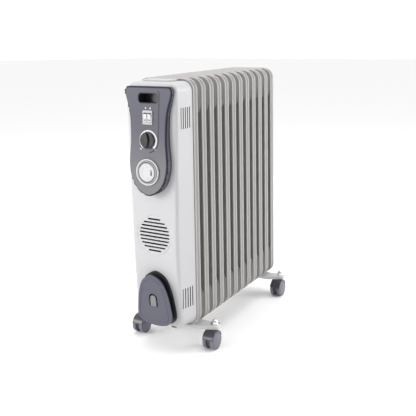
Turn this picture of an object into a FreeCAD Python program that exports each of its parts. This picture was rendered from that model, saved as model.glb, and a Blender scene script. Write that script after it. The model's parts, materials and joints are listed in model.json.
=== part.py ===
"""Oil filled radiator heater: a row of pressed-steel fins on four castors, with a control casing in front.

Frame: +X to the right, -Y to the front (the controls), +Z up. The origin is on the floor, under the middle
of the heater's length and width.
"""
import FreeCAD, Part
import math
import os
import re

import Sketcher
from FreeCAD import Rotation, Vector

SIZES = [
    ("overall_length", 540, "timer dial to the back of the last fin"),
    ("overall_width", 240, "tip to tip of a castor bracket"),
    ("overall_height", 670, "floor to the top of the fins"),
    ("fin_count", 12, "number of fins"),
    ("fin_width", 158, "fin, left to right"),
    ("fin_foot", 57, "height of the fins' lower edge, and of the brackets' top"),
    ("fin_corner", 29, "corner radius of a fin"),
    ("rim_depth", 20, "folded rim of a fin, front to back"),
    ("rim_wall", 4, "width of the rim seen from the front"),
    ("web_thickness", 3, "flat middle of a fin"),
    ("channel_depth", 12, "oil channel, front to back"),
    ("channel_width", 24, "oil channel, left to right"),
    ("channel_spacing", 40, "between the oil channels"),
    ("header_depth", 15, "oil space at the top and bottom of a fin, front to back"),
    ("header_height", 70, "oil space at the top and bottom of a fin"),
    ("header_drop", 50, "top header centre below the top of the fin"),
    ("header_rise", 50, "bottom header centre above the foot of the fin"),
    ("hub_radius", 22, "welded joint between two fins"),
    ("hub_bore", 14, "radius of the oil passage"),
    ("hub_end", 7.5, "last fin's hub behind its middle"),
    ("hub_cap", 4, "steel that closes a hub"),
    ("casing_gap", 0.5, "first fin to the casing"),
    ("casing_depth", 61.5, "casing, front to back"),
    ("casing_wall", 2, "wall of the casing"),
    ("casing_foot", 67, "height of the casing's lower edge"),
    ("casing_top", 664, "height of the casing's upper edge"),
    ("casing_rear_width", 152, "casing against the fin"),
    ("casing_top_width", 142, "front of the casing, at its top"),
    ("casing_foot_width", 122, "front of the casing, at its foot"),
    ("casing_corner", 24, "corner radius of the casing, seen from the front"),
    ("casing_edge", 9, "rounding of the casing's front edges"),
    ("knee_height", 320, "height below which the casing's front curves back"),
    ("foot_recess", 16, "how far the front has curved back at the foot"),
    ("vent_width", 3, "width of a side vent"),
    ("vent_pitch", 8, "between side vents"),
    ("vent_height", 50, "height of a side vent"),
    ("vent_count", 5, "side vents in a row"),
    ("upper_vent", 580, "height of the middle of the upper vents"),
    ("lower_vent", 143, "height of the middle of the lower vents"),
    ("plate_clearance", 0.3, "between pieces that slide in or drop in"),
    ("back_plate", 1.5, "thickness of the casing's back plate"),
    ("top_plate_width", 78, "flat plate on the casing's top"),
    ("top_plate_depth", 34, "flat plate on the casing's top"),
    ("top_plate_thickness", 4, "flat plate on the casing's top"),
    ("panel_wall", 3, "wall of the control panel"),
    ("panel_top", 655, "height of the panel's upper edge"),
    ("panel_low", 398, "height of the panel's lower tip"),
    ("panel_top_width", 134, "panel at its upper edge"),
    ("panel_waist_width", 102, "panel at its narrowest"),
    ("panel_lobe_width", 108, "panel across the timer"),
    ("panel_top_proud", 10, "panel's face in front of the casing, at the top"),
    ("panel_low_proud", 22, "panel's face in front of the casing, at the tip"),
    ("handle_height", 628, "height of the handle recess"),
    ("handle_width", 56, "handle recess"),
    ("handle_opening", 25, "handle recess, up and down"),
    ("handle_depth", 32, "handle recess, front to back"),
    ("handle_wall", 1.5, "wall of the handle recess"),
    ("handle_corner", 9, "corner radius of the handle recess"),
    ("switch_height", 583, "height of the switches"),
    ("switch_width", 27, "switch housing's rim"),
    ("switch_tall", 33, "switch housing's rim"),
    ("switch_rim", 2.5, "switch housing's rim in front of the panel"),
    ("switch_body_depth", 22, "switch housing behind the panel"),
    ("rocker_width", 9, "rocker"),
    ("rocker_tall", 20, "rocker"),
    ("rocker_depth", 8, "rocker, front to back"),
    ("rocker_proud", 3.5, "rocker's face in front of the panel"),
    ("rocker_tilt", 7, "degrees that a rocker leans either way"),
    ("rocker_spacing", 11.5, "between the rockers"),
    ("rocker_gap", 0.6, "around a rocker"),
    ("knob_height", 530, "height of the thermostat knob"),
    ("knob_radius", 19.5, "thermostat knob"),
    ("knob_disc", 4.8, "thermostat knob's disc, front to back"),
    ("knob_grip", 4.5, "finger grip in front of the disc"),
    ("knob_grip_width", 11, "finger grip at its middle"),
    ("knob_gap", 0.5, "knob to panel"),
    ("shaft_radius", 3, "thermostat shaft"),
    ("bush_radius", 5, "thermostat bush"),
    ("running_clearance", 0.05, "radial gap of a shaft or axle in its bore"),
    ("thermostat_radius", 18, "thermostat"),
    ("thermostat_depth", 14, "thermostat"),
    ("timer_height", 455, "height of the timer"),
    ("timer_radius", 31.5, "timer's outer ring"),
    ("timer_ring", 4, "width of the outer ring"),
    ("timer_ring_proud", 4, "outer ring in front of the panel"),
    ("timer_body_depth", 26, "timer's case behind the panel"),
    ("dial_radius", 26.5, "timer's dial"),
    ("dial_proud", 6, "dial's face in front of the panel"),
    ("dial_thickness", 5, "dial, front to back"),
    ("dial_face_radius", 21, "dial inside its setting pins"),
    ("lever_length", 9, "timer's override lever"),
    ("lever_width", 3, "timer's override lever"),
    ("lever_travel", 4, "override lever's slide"),
    ("fan_height", 298, "height of the fan's axis"),
    ("grille_radius", 48, "fan grille"),
    ("grille_slots", 10, "slots in the grille"),
    ("grille_slot", 4.2, "height of a slot"),
    ("grille_pitch", 8.6, "between slots"),
    ("grille_margin", 5.5, "slot's end to the grille's edge"),
    ("ptc_gap", 1.5, "ceramic heater to the casing's wall"),
    ("ptc_thickness", 12, "ceramic heater of the fan"),
    ("ptc_width", 84, "ceramic heater of the fan"),
    ("ptc_height", 66, "ceramic heater of the fan"),
    ("impeller_radius", 36, "fan wheel"),
    ("impeller_depth", 13, "fan wheel"),
    ("impeller_hub", 13, "fan wheel's hub radius"),
    ("blade_thickness", 1.6, "fan blade"),
    ("blade_pitch", 35, "degrees that a blade is turned"),
    ("fan_gap", 3, "fan wheel to its neighbours"),
    ("motor_radius", 17, "fan motor"),
    ("winder_height", 138, "height of the middle of the cord winder"),
    ("winder_tall", 130, "cord winder's plate"),
    ("winder_width", 98, "cord winder's plate"),
    ("winder_lean", 6, "degrees that the winder leans, as the casing does behind it"),
    ("winder_proud", 13, "plate's face in front of the casing's upper front"),
    ("flange_margin", 3, "winder's flange beyond its plate, all round"),
    ("winder_plate", 5, "thickness of the plate"),
    ("winder_gap", 12, "room for the cord between plate and flange"),
    ("winder_hub", 17, "radius of the core that the cord goes round"),
    ("clip_width", 16, "sprung tongue in the plate"),
    ("clip_tall", 28, "sprung tongue in the plate"),
    ("clip_slot", 4, "slot around the tongue"),
    ("gland_bore", 3.6, "radius of the cord's way through the gland"),
    ("gland_radius", 8, "cord gland's collar"),
    ("gland_drop", 8, "cord gland below the casing"),
    ("gland_offset", 28, "cord gland to the right of the middle"),
    ("bracket_width", 36, "castor bracket across its middle"),
    ("bracket_tip", 23, "castor bracket across its tip"),
    ("bracket_nose", 10, "corner radius of the bracket's tip"),
    ("front_sweep", 10, "front stems behind the middle of their bracket"),
    ("rear_sweep", 16, "rear stems behind the middle of their bracket"),
    ("bracket_depth", 9, "folded flange of the bracket"),
    ("bracket_sheet", 2, "bracket's sheet"),
        ("castor_trail", 17, "stem to wheel axis"),
    ("wheel_radius", 22.5, "castor wheel"),
    ("wheel_width", 9.5, "castor wheel"),
    ("wheel_gap", 11, "between a castor's two wheels"),
    ("wheel_side", 0.4, "wheel to hood"),
    ("hood_web", 10.2, "hood between the wheels"),
    ("hood_thickness", 1.5, "hood over the wheels"),
    ("hood_clearance", 0.8, "wheel to hood, around"),
    ("axle_radius", 2.5, "castor axle"),
    ("stem_radius", 4, "castor stem"),
    ("nut_radius", 8.5, "cap nut"),
    ("washer_radius", 11, "washer under the cap nut"),
    ("washer_thickness", 1.5, "washer under the cap nut"),
    ("bolt_radius", 3, "rod of the U-bolts"),
    ("element_radius", 4, "heating element's tube"),
    ("element_spacing", 13, "between the element's two legs"),
    ("element_flange", 20, "heating element's flange radius"),
    ("flange_thickness", 3, "heating element's flange"),
    ("plug_radius", 7, "filler plug's thread"),
    ("plug_head", 10, "filler plug's hexagon, corner radius"),
    ("tip_box", 30, "tip-over switch"),
    ("tip_offset", 24, "tip-over switch to the left of the middle"),
    ("tip_swing", 25, "degrees that the tip-over pendulum can swing"),
]
ALIASES = {alias for alias, _, _ in SIZES}

doc = FreeCAD.newDocument("radiator_heater")
sheet = doc.addObject("Spreadsheet::Sheet", "dim")
for row, (alias, value, note) in enumerate(SIZES, start=1):
    sheet.set(f"A{row}", note)
    sheet.set(f"B{row}", str(value))
    sheet.setAlias(f"B{row}", alias)
doc.recompute()


# ---------------------------------------------------------------- expressions
def expr(text):
    """The text with each size's name written as a cell of the sheet."""
    return re.sub(r"[a-z][a-z_]*", lambda m: "dim." + m[0] if m[0] in ALIASES else m[0], text)


def mm(text):
    """The number that an expression comes to."""
    return float(sheet.evalExpression(expr(str(text))))


def bind(item, prop, text):
    item.setExpression(prop, expr(str(text)))


def place(item, x="0", y="0", z="0"):
    for axis, text in zip("xyz", (x, y, z)):
        bind(item, f"Placement.Base.{axis}", text)
    return item


def panel_proud(height):
    """How far the panel's leaning face stands in front of the casing at a height."""
    slope = "(panel_low_proud - panel_top_proud) / (panel_top - panel_low)"
    return f"(panel_top_proud + {slope} * (panel_top - {height}))"


LEAN = "atan((panel_low_proud - panel_top_proud) / (panel_top - panel_low))"
FRONT_STACK = (f"(casing_gap + casing_depth + {panel_proud('timer_height')} + dial_proud * cos({LEAN})"
               f" + dial_radius * sin({LEAN}))")
FIN_PITCH = f"((overall_length - rim_depth - {FRONT_STACK}) / (fin_count - 1))"
FIRST_FIN = f"(rim_depth / 2 + {FRONT_STACK} - overall_length / 2)"
CASING_REAR = f"({FIRST_FIN} - rim_depth / 2 - casing_gap)"
CASING_FRONT = f"({CASING_REAR} - casing_depth)"
FIN_MIDDLE = "((overall_height + fin_foot) / 2)"
FIN_HEIGHT = "(overall_height - fin_foot)"
TOP_HEADER = "(overall_height - header_drop)"
LOW_HEADER = "(fin_foot + header_rise)"
FRONT_BRACKET = f"({FIRST_FIN} + {FIN_PITCH} / 2)"
REAR_BRACKET = f"({FIRST_FIN} + (fin_count - 1.5) * {FIN_PITCH})"
STEM_SPACING = "(overall_width - wheel_gap - 2 * wheel_width)"

pieces = []


def piece(item, label):
    """Names a finished sub-part and lists it for the files."""
    item.Label = label
    pieces.append(item)
    return item


# ---------------------------------------------------------------- sketches and features
def new_body(name):
    return doc.addObject("PartDesign::Body", name)


def sketch(body, plane, x="0", y="0", z="0"):
    """A sketch on one of the body's own planes; z is how far in front of the plane it lies."""
    item = body.newObject("Sketcher::SketchObject", body.Name + "_sketch")
    origin_plane = next(o for o in body.Origin.OriginFeatures if o.Role == plane)
    item.AttachmentSupport = [(origin_plane, "")]
    item.MapMode = "FlatFace"
    for axis, text in zip("xyz", (x, y, z)):
        bind(item, f"AttachmentOffset.Base.{axis}", text)
    return item


def constrain(item, kind, *place_and_value):
    """A dimension whose value is an expression."""
    *where, text = place_and_value
    index = item.addConstraint(Sketcher.Constraint(kind, *where, mm(text)))
    bind(item, f"Constraints[{index}]", text)


def circle(item, radius, x="0", y="0"):
    first = item.GeometryCount
    item.addGeometry(Part.Circle(Vector(mm(x), mm(y), 0), Vector(0, 0, 1), mm(radius)), False)
    constrain(item, "Radius", first, radius)
    constrain(item, "DistanceX", -1, 1, first, 3, x)
    constrain(item, "DistanceY", -1, 1, first, 3, y)
    return item


def outline(item, points):
    """A closed outline of straight edges, its corners given as pairs of expressions."""
    first = item.GeometryCount
    corners = [Vector(mm(x), mm(y), 0) for x, y in points]
    for start, end in zip(corners, corners[1:] + corners[:1]):
        item.addGeometry(Part.LineSegment(start, end), False)
    for index, (x, y) in enumerate(points):
        following = first + (index + 1) % len(points)
        item.addConstraint(Sketcher.Constraint("Coincident", first + index, 2, following, 1))
        constrain(item, "DistanceX", -1, 1, first + index, 1, x)
        constrain(item, "DistanceY", -1, 1, first + index, 1, y)
    return item


def rectangle(item, width, height):
    """A rectangle about the sketch's own origin."""
    left, right = f"-({width}) / 2", f"({width}) / 2"
    low, high = f"-({height}) / 2", f"({height}) / 2"
    return outline(item, [(left, low), (right, low), (right, high), (left, high)])


def rounded_rectangle(item, width, height, radius):
    """A rectangle with round corners about the sketch's own origin."""
    w, h, r = mm(width) / 2, mm(height) / 2, mm(radius)
    sides = [((r - w, -h), (w - r, -h)), ((w, r - h), (w, h - r)),
             ((w - r, h), (r - w, h)), ((-w, h - r), (-w, r - h))]
    for start, end in sides:
        item.addGeometry(Part.LineSegment(Vector(*start, 0), Vector(*end, 0)), False)
    for index, (x, y) in enumerate([(w - r, r - h), (w - r, h - r), (r - w, h - r), (r - w, r - h)]):
        turn = math.radians(90 * index - 90)
        corner = Part.Circle(Vector(x, y, 0), Vector(0, 0, 1), r)
        item.addGeometry(Part.ArcOfCircle(corner, turn, turn + math.pi / 2), False)
    for index in range(4):
        item.addConstraint(Sketcher.Constraint("Tangent", index, 2, 4 + index, 1))
        item.addConstraint(Sketcher.Constraint("Tangent", 4 + index, 2, (index + 1) % 4, 1))
        item.addConstraint(Sketcher.Constraint(("Horizontal", "Vertical")[index % 2], index))
    for index in range(4, 7):
        item.addConstraint(Sketcher.Constraint("Equal", index, index + 1))
    item.addConstraint(Sketcher.Constraint("Symmetric", 4, 3, 6, 3, -1, 1))
    constrain(item, "Radius", 4, radius)
    constrain(item, "DistanceX", 3, 1, 1, 1, width)
    constrain(item, "DistanceY", 0, 1, 2, 1, height)
    return item


def feature(body, kind, profile, length, **settings):
    item = body.newObject(kind, body.Name + "_" + kind.split("::")[1].lower())
    item.Profile = profile
    bind(item, "Length", length)
    for name, value in settings.items():
        setattr(item, name, value)
    return item


def pad(body, profile, length, **settings):
    return feature(body, "PartDesign::Pad", profile, length, **settings)


def pocket(body, profile, length, **settings):
    return feature(body, "PartDesign::Pocket", profile, length, **settings)


def round_edges(body, base, radius, wanted):
    """Fillets the edges of a feature that pass a test."""
    doc.recompute()
    names = [f"Edge{i}" for i, edge in enumerate(base.Shape.Edges, start=1) if wanted(edge)]
    item = body.newObject("PartDesign::Fillet", body.Name + "_fillet")
    item.Base = (base, names)
    bind(item, "Radius", radius)
    return item


# ---------------------------------------------------------------- primitives and booleans
def box(name, size, low):
    """A box of a size (x, y, z), placed by its lowest corner."""
    item = doc.addObject("Part::Box", name)
    for prop, text in zip(("Length", "Width", "Height"), size):
        bind(item, prop, text)
    return place(item, *low)


TURNS = {"x": Rotation(Vector(0, 1, 0), 90), "y": Rotation(Vector(1, 0, 0), -90), "z": Rotation()}


def cylinder(name, radius, length, base, axis="z"):
    """A cylinder that starts at base and runs along +axis."""
    item = doc.addObject("Part::Cylinder", name)
    bind(item, "Radius", radius)
    bind(item, "Height", length)
    item.Placement.Rotation = TURNS[axis]
    return place(item, *base)


def fuse(name, items):
    item = doc.addObject("Part::MultiFuse", name)
    item.Shapes = items
    return item


def cut(name, base, tools):
    item = doc.addObject("Part::Cut", name)
    item.Base = base
    item.Tool = tools[0] if len(tools) == 1 else fuse(name + "_tools", tools)
    return item


def group(name, items):
    """Separate solids that share one node."""
    item = doc.addObject("Part::Compound", name)
    item.Links = items
    return item


def solid_feature(name, shape):
    item = doc.addObject("Part::Feature", name)
    item.Shape = shape
    return item


# ---------------------------------------------------------------- fins
def make_fin(number):
    """One fin: folded rim, flat web, three oil channels, two headers and the hubs to its neighbours."""
    first, last = number == 1, number == int(mm("fin_count"))
    label = f"fin_{number:02d}"
    body = new_body(label)
    pad(body, rounded_rectangle(sketch(body, "XZ_Plane"), "fin_width", FIN_HEIGHT, "fin_corner"),
        "rim_depth", SideType="Symmetric")
    inner = ("fin_width - 2 * rim_wall", f"{FIN_HEIGHT} - 2 * rim_wall", "fin_corner - rim_wall")
    for side, turned in (("rim_depth / 2", False), ("-rim_depth / 2", True)):
        hollow = rounded_rectangle(sketch(body, "XZ_Plane", z=side), *inner)
        pocket(body, hollow, "(rim_depth - web_thickness) / 2", Reversed=turned)
    ends = ((f"{TOP_HEADER} - {FIN_MIDDLE}", first), (f"{LOW_HEADER} - {FIN_MIDDLE}", False))
    for height, _ in ends:
        header = rounded_rectangle(sketch(body, "XZ_Plane", y=height), "fin_width - 2 * rim_wall - 6",
                                   "header_height", "fin_corner - rim_wall - 3")
        pad(body, header, "header_depth", SideType="Symmetric")
    for column in (-1, 0, 1):
        channel = sketch(body, "XZ_Plane", x=f"{column} * channel_spacing")
        rounded_rectangle(channel, "channel_width", f"{TOP_HEADER} - {LOW_HEADER}", "channel_width / 2 - 1")
        pad(body, channel, "channel_depth", SideType="Symmetric")
    front = f"{FIN_PITCH} / 2"
    rear = "hub_end" if last else front
    for height, _ in ends:
        hub = circle(sketch(body, "XZ_Plane", y=height, z=front), "hub_radius")
        pad(body, hub, f"{front} + {rear}", Reversed=True)
    for height, closed in ends:
        front_wall = "hub_cap" if closed else "0"
        rear_wall = "hub_cap" if last else "0"
        bore = circle(sketch(body, "XZ_Plane", y=height, z=f"{front} - {front_wall}"), "hub_bore")
        pocket(body, bore, f"{front} + {rear} - {front_wall} - {rear_wall}")
    if last:
        hole = circle(sketch(body, "XZ_Plane", y=ends[0][0], z="0"), "plug_radius + plate_clearance")
        pocket(body, hole, "rim_depth")
    place(body, y=f"{FIRST_FIN} + {number - 1} * {FIN_PITCH}", z=FIN_MIDDLE)
    return piece(body, label)


def make_filler_plug():
    """The plug that closes the oil filling hole in the last fin."""
    face = f"{FIRST_FIN} + (fin_count - 1) * {FIN_PITCH} + hub_end"
    body = new_body("filler_plug")
    head = sketch(body, "XZ_Plane")
    corners = [(f"{math.cos(math.radians(a)):.6f} * plug_head", f"{math.sin(math.radians(a)):.6f} * plug_head")
               for a in range(0, 360, 60)]
    pad(body, outline(head, corners), "rim_depth / 2 - hub_end", Reversed=True)
    pad(body, circle(sketch(body, "XZ_Plane"), "plug_radius"), "hub_cap")
    place(body, y=face, z=TOP_HEADER)
    return piece(body, "filler_plug")


def make_heating_element():
    """A U-shaped tubular element in the bottom header, on its flange."""
    start = f"{FIRST_FIN} - {FIN_PITCH} / 2"
    length = f"((fin_count - 1) * {FIN_PITCH})"
    legs = [cylinder(f"element_leg_{side}", "element_radius", length,
                     (f"{side} * element_spacing / 2", start, LOW_HEADER), "y") for side in (-1, 1)]
    bend = doc.addObject("Part::Torus", "element_bend")
    bind(bend, "Radius1", "element_spacing / 2")
    bind(bend, "Radius2", "element_radius")
    bind(bend, "Angle3", "180")
    place(bend, y=f"{start} + {length}", z=LOW_HEADER)
    flange = cylinder("element_flange", "element_flange", "flange_thickness",
                      ("0", f"{start} - flange_thickness", LOW_HEADER), "y")
    pins = [cylinder(f"element_pin_{side}", "element_radius / 2", "flange_thickness * 3",
                     (f"{side} * element_spacing / 2", f"{start} - flange_thickness * 3.5", LOW_HEADER), "y")
            for side in (-1, 1)]
    return piece(fuse("heating_element", legs + [bend, flange] + pins), "heating_element")


# ---------------------------------------------------------------- casing
def casing_block(name, inset):
    """The casing's outer form, or with an inset the space inside it."""
    body = new_body(name)
    low, high = f"casing_foot + {inset}", f"casing_top - {inset}"

    def section(top_width, foot_width, y):
        top, foot = f"({top_width}) / 2 - {inset}", f"({foot_width}) / 2 - {inset}"
        points = [(f"-({foot})", low), (foot, low), (top, high), (f"-({top})", high)]
        return outline(sketch(body, "XZ_Plane", z=f"-({y})"), points)

    rear = section("casing_rear_width", "casing_rear_width", CASING_REAR)
    front = section("casing_top_width", "casing_foot_width", f"{CASING_FRONT} + {inset}")
    loft = body.newObject("PartDesign::AdditiveLoft", name + "_loft")
    loft.Profile = rear
    loft.Sections = [front]
    loft.Ruled = True
    depth = mm("casing_depth") * 0.9
    rounded = round_edges(body, loft, f"casing_corner - {inset}",
                          lambda edge: edge.BoundBox.YLength > depth)
    body.Tip = rounded
    recess = sketch(body, "YZ_Plane")
    front_y, knee = f"({CASING_FRONT} + {inset})", "knee_height"
    drop = "(knee_height - casing_foot)"
    radius = f"(({drop} ^ 2 + foot_recess ^ 2) / (2 * foot_recess))"
    far = f"{front_y} - foot_recess"
    below = f"(casing_foot - {drop} / 10)"
    end_y = f"({front_y} + {radius} - sqrt({radius} ^ 2 - (knee_height - {below}) ^ 2))"
    centre = Vector(mm(f"{front_y} + {radius}"), mm(knee), 0)
    swing = math.asin(mm(f"(knee_height - {below}) / ({radius})"))
    curve = Part.ArcOfCircle(Part.Circle(centre, Vector(0, 0, 1), mm(radius)), math.pi, math.pi + swing)
    corners = [(end_y, below), (far, below), (far, knee), (front_y, knee)]
    places = [Vector(mm(x), mm(y), 0) for x, y in corners]
    for start, end in zip(places, places[1:]):
        recess.addGeometry(Part.LineSegment(start, end), False)
    recess.addGeometry(curve, False)
    for index in range(3):
        if index < 2:
            recess.addConstraint(Sketcher.Constraint("Coincident", index, 2, index + 1, 1))
        constrain(recess, "DistanceX", -1, 1, index, 1, corners[index][0])
        constrain(recess, "DistanceY", -1, 1, index, 1, corners[index][1])
    recess.addConstraint(Sketcher.Constraint("Coincident", 2, 2, 3, 1))
    recess.addConstraint(Sketcher.Constraint("Coincident", 3, 2, 0, 1))
    constrain(recess, "DistanceX", -1, 1, 2, 2, front_y)
    constrain(recess, "DistanceY", -1, 1, 2, 2, knee)
    constrain(recess, "Radius", 3, radius)
    curved = pocket(body, recess, "casing_rear_width * 2", SideType="Symmetric")
    limit = mm(f"{front_y} + foot_recess") + 1.0
    seam = mm(knee)

    def on_front(edge):
        bounds = edge.BoundBox
        return bounds.YMax < limit and not (bounds.ZLength < 0.1 and abs(bounds.ZMin - seam) < 0.5)

    body.Tip = round_edges(body, curved, f"casing_edge - {inset}", on_front)
    return body


def leaning(item, height, proud="0"):
    """Puts a panel-mounted piece, built about its own origin with -Y outwards, on the panel's face."""
    item.Placement.Rotation = Rotation(Vector(1, 0, 0), -mm(LEAN))
    face = f"({CASING_FRONT} - {panel_proud(height)})"
    return place(item, y=f"{face} - ({proud}) * cos({LEAN})", z=f"{height} + ({proud}) * sin({LEAN})")


def make_casing(outer):
    """The moulded casing, hollow and open at the back, with its vents and cut-outs."""
    start = f"{CASING_FRONT} - casing_wall"
    tools = [casing_block("casing_inside", "casing_wall")]
    for name, height, width, tall in (("handle", "handle_height", "handle_width", "handle_opening"),
                                      ("switch", "switch_height", "switch_width", "switch_tall")):
        wide, high = f"({width} + 2)", f"({tall} + 6)"
        tools.append(box(f"{name}_cutout", (wide, "casing_wall * 4", high),
                         (f"-{wide} / 2", start, f"{height} - {high} / 2")))
    for name, height, radius in (("thermostat", "knob_height", "thermostat_radius + 1"),
                                 ("timer", "timer_height", "timer_radius + 1"),
                                 ("grille", "fan_height", "grille_radius")):
        tools.append(cylinder(f"{name}_cutout", radius, "casing_wall * 4", ("0", start, height), "y"))
    for row in ("upper_vent", "lower_vent"):
        for number in range(int(mm("vent_count"))):
            offset = f"({number} - (vent_count - 1) / 2) * vent_pitch"
            low_y = f"{CASING_REAR} - casing_depth * 0.45 + {offset} - vent_width / 2"
            tools.append(box(f"{row}_{number}", ("casing_rear_width * 2", "vent_width", "vent_height"),
                             ("-casing_rear_width", low_y, f"{row} - vent_height / 2")))
    gland_y = f"{CASING_REAR} - casing_depth * 0.4"
    tools.append(cylinder("gland_cutout", "gland_radius - 2 + plate_clearance", "casing_wall * 4",
                          ("gland_offset", gland_y, "casing_foot - casing_wall"), "z"))
    return piece(cut("control_casing", outer, tools), "control_casing")


def make_back_plate():
    """The steel plate that closes the casing towards the fins."""
    body = new_body("back_plate")
    side = "2 * (casing_wall + 1)"
    middle = "(casing_top + casing_foot) / 2"
    pad(body, rounded_rectangle(sketch(body, "XZ_Plane"), f"casing_rear_width - {side}",
                                f"casing_top - casing_foot - {side}", "casing_corner"),
        "back_plate", Reversed=True)
    for height in (TOP_HEADER, LOW_HEADER):
        hole = circle(sketch(body, "XZ_Plane", y=f"{height} - {middle}"), "hub_radius + 1")
        pocket(body, hole, "back_plate * 4", SideType="Symmetric")
    place(body, y=f"{CASING_REAR} - back_plate - 1", z=middle)
    return piece(body, "back_plate")


def make_top_plate():
    """The flat plate on top of the casing, against the first fin."""
    low_y = f"{CASING_REAR} - top_plate_depth"
    plate = box("top_plate", ("top_plate_width", "top_plate_depth", "top_plate_thickness"),
                ("-top_plate_width / 2", low_y, "casing_top"))
    return piece(plate, "top_plate")


# ---------------------------------------------------------------- control panel
def smooth_outline(points, closing_line):
    """A face in the XZ plane inside a smooth curve through points, which runs to its own mirror image."""
    right = [Vector(x, 0, z) for x, z in points]
    left = [Vector(-p.x, 0, p.z) for p in reversed(right[:-1])]
    curve = Part.BSplineCurve()
    if closing_line:
        curve.interpolate(right + left)
        edges = [curve.toShape(), Part.makeLine(left[-1], right[0])]
    else:
        curve.interpolate(Points=right + left[:-1], PeriodicFlag=True)
        edges = [curve.toShape()]
    return Part.Face(Part.Wire(edges))


# The right half of the shield, from the top edge down: which width it follows, and its share of the half
# width and of the panel's height.
SHIELD = [
    ("panel_top_width", 0.836, 1.0), ("panel_top_width", 0.933, 0.988), ("panel_top_width", 0.985, 0.965),
    ("panel_top_width", 0.978, 0.926), ("panel_top_width", 0.896, 0.852), ("panel_top_width", 0.813, 0.774),
    ("panel_waist_width", 1.01, 0.669), ("panel_waist_width", 0.99, 0.572), ("panel_waist_width", 1.01, 0.436),
    ("panel_lobe_width", 1.0, 0.300), ("panel_lobe_width", 0.943, 0.202), ("panel_lobe_width", 0.774, 0.109),
    ("panel_lobe_width", 0.528, 0.047), ("panel_lobe_width", 0.245, 0.012), ("panel_lobe_width", 0.0, 0.0),
]


def panel_block(inset):
    """The panel's form: its shield outline taken from the casing to the leaning face."""
    top, low = mm("panel_top") - inset, mm("panel_low") + inset
    points = [((mm(width) / 2 - inset) * across, low + (top - low) * up) for width, across, up in SHIELD]
    back = mm(CASING_FRONT)
    reach = 2 * mm("panel_low_proud")
    prism = smooth_outline(points, True).extrude(Vector(0, -reach, 0))
    prism.translate(Vector(0, back, 0))
    width = mm("panel_top_width")
    profile = [Vector(-width, back - mm(panel_proud(str(z))) + inset, z) for z in (low - 1, top + 1)]
    profile += [Vector(-width, back + reach, z) for z in (top + 1, low - 1)]
    behind_face = Part.Face(Part.makePolygon(profile + profile[:1])).extrude(Vector(2 * width, 0, 0))
    return prism.common(behind_face)


def round_slab(width, tall, radius, depth):
    """A slab across the Y axis, its corners rounded; it reaches from -depth to +depth."""
    block = Part.makeBox(width, 2 * depth, tall, Vector(-width / 2, -depth, -tall / 2))
    corners = [edge for edge in block.Edges if edge.BoundBox.YLength > depth]
    return block.makeFillet(radius, corners)


def panel_hole(shape, height):
    """A cutting tool, built about the panel's face, moved to a height on it."""
    shape.rotate(Vector(0, 0, 0), Vector(1, 0, 0), -mm(LEAN))
    shape.translate(Vector(0, mm(f"{CASING_FRONT} - {panel_proud(height)}"), mm(height)))
    return shape


def make_control_panel():
    """The shield-shaped panel, hollow behind, with openings for the handle, switches, knob and timer."""
    wall, reach = mm("panel_wall"), mm("panel_low_proud")
    shell = panel_block(0).cut(panel_block(wall))
    gap = mm("plate_clearance")
    for height, width, tall, corner in (("handle_height", "handle_width", "handle_opening", "handle_corner"),
                                        ("switch_height", "switch_width - 3", "switch_tall - 3", "0.2")):
        tool = round_slab(mm(width) + 2 * gap, mm(tall) + 2 * gap, mm(corner) + gap, reach)
        shell = shell.cut(panel_hole(tool, height))
    for height, radius in (("knob_height", "bush_radius + 1"), ("timer_height", "timer_radius - 1.5")):
        tool = Part.makeCylinder(mm(radius), 2 * reach, Vector(0, -reach, 0), Vector(0, 1, 0))
        shell = shell.cut(panel_hole(tool, height))
    return piece(solid_feature("control_panel", shell), "control_panel")


def make_handle_pocket():
    """The finger recess that the heater is pulled by, a cup open to the front."""
    body = new_body("handle_pocket")
    rim = rounded_rectangle(sketch(body, "XZ_Plane"), "handle_width", "handle_opening", "handle_corner")
    pad(body, rim, "handle_depth", Reversed=True)
    inside = rounded_rectangle(sketch(body, "XZ_Plane"), "handle_width - 2 * handle_wall",
                               "handle_opening - 2 * handle_wall", "handle_corner - handle_wall")
    pocket(body, inside, "handle_depth - handle_wall")
    return piece(leaning(body, "handle_height"), "handle_pocket")


ROCKER_PIVOT = "(rocker_depth / 2)"


def make_switch_housing():
    """The double rocker switch: its rim on the panel, its body behind, and a window for each rocker."""
    body = new_body("switch_housing")
    pad(body, rectangle(sketch(body, "XZ_Plane"), "switch_width", "switch_tall"), "switch_rim")
    pad(body, rectangle(sketch(body, "XZ_Plane"), "switch_width - 3", "switch_tall - 3"),
        "switch_body_depth", Reversed=True)
    for side in (-1, 1):
        window = sketch(body, "XZ_Plane", x=f"{side} * rocker_spacing / 2", z="switch_rim")
        rectangle(window, "rocker_width + 2 * rocker_gap", "rocker_tall + 2 * rocker_gap")
        pocket(body, window, "switch_rim + rocker_depth + rocker_gap * 2")
    return piece(leaning(body, "switch_height"), "switch_housing")


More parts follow.
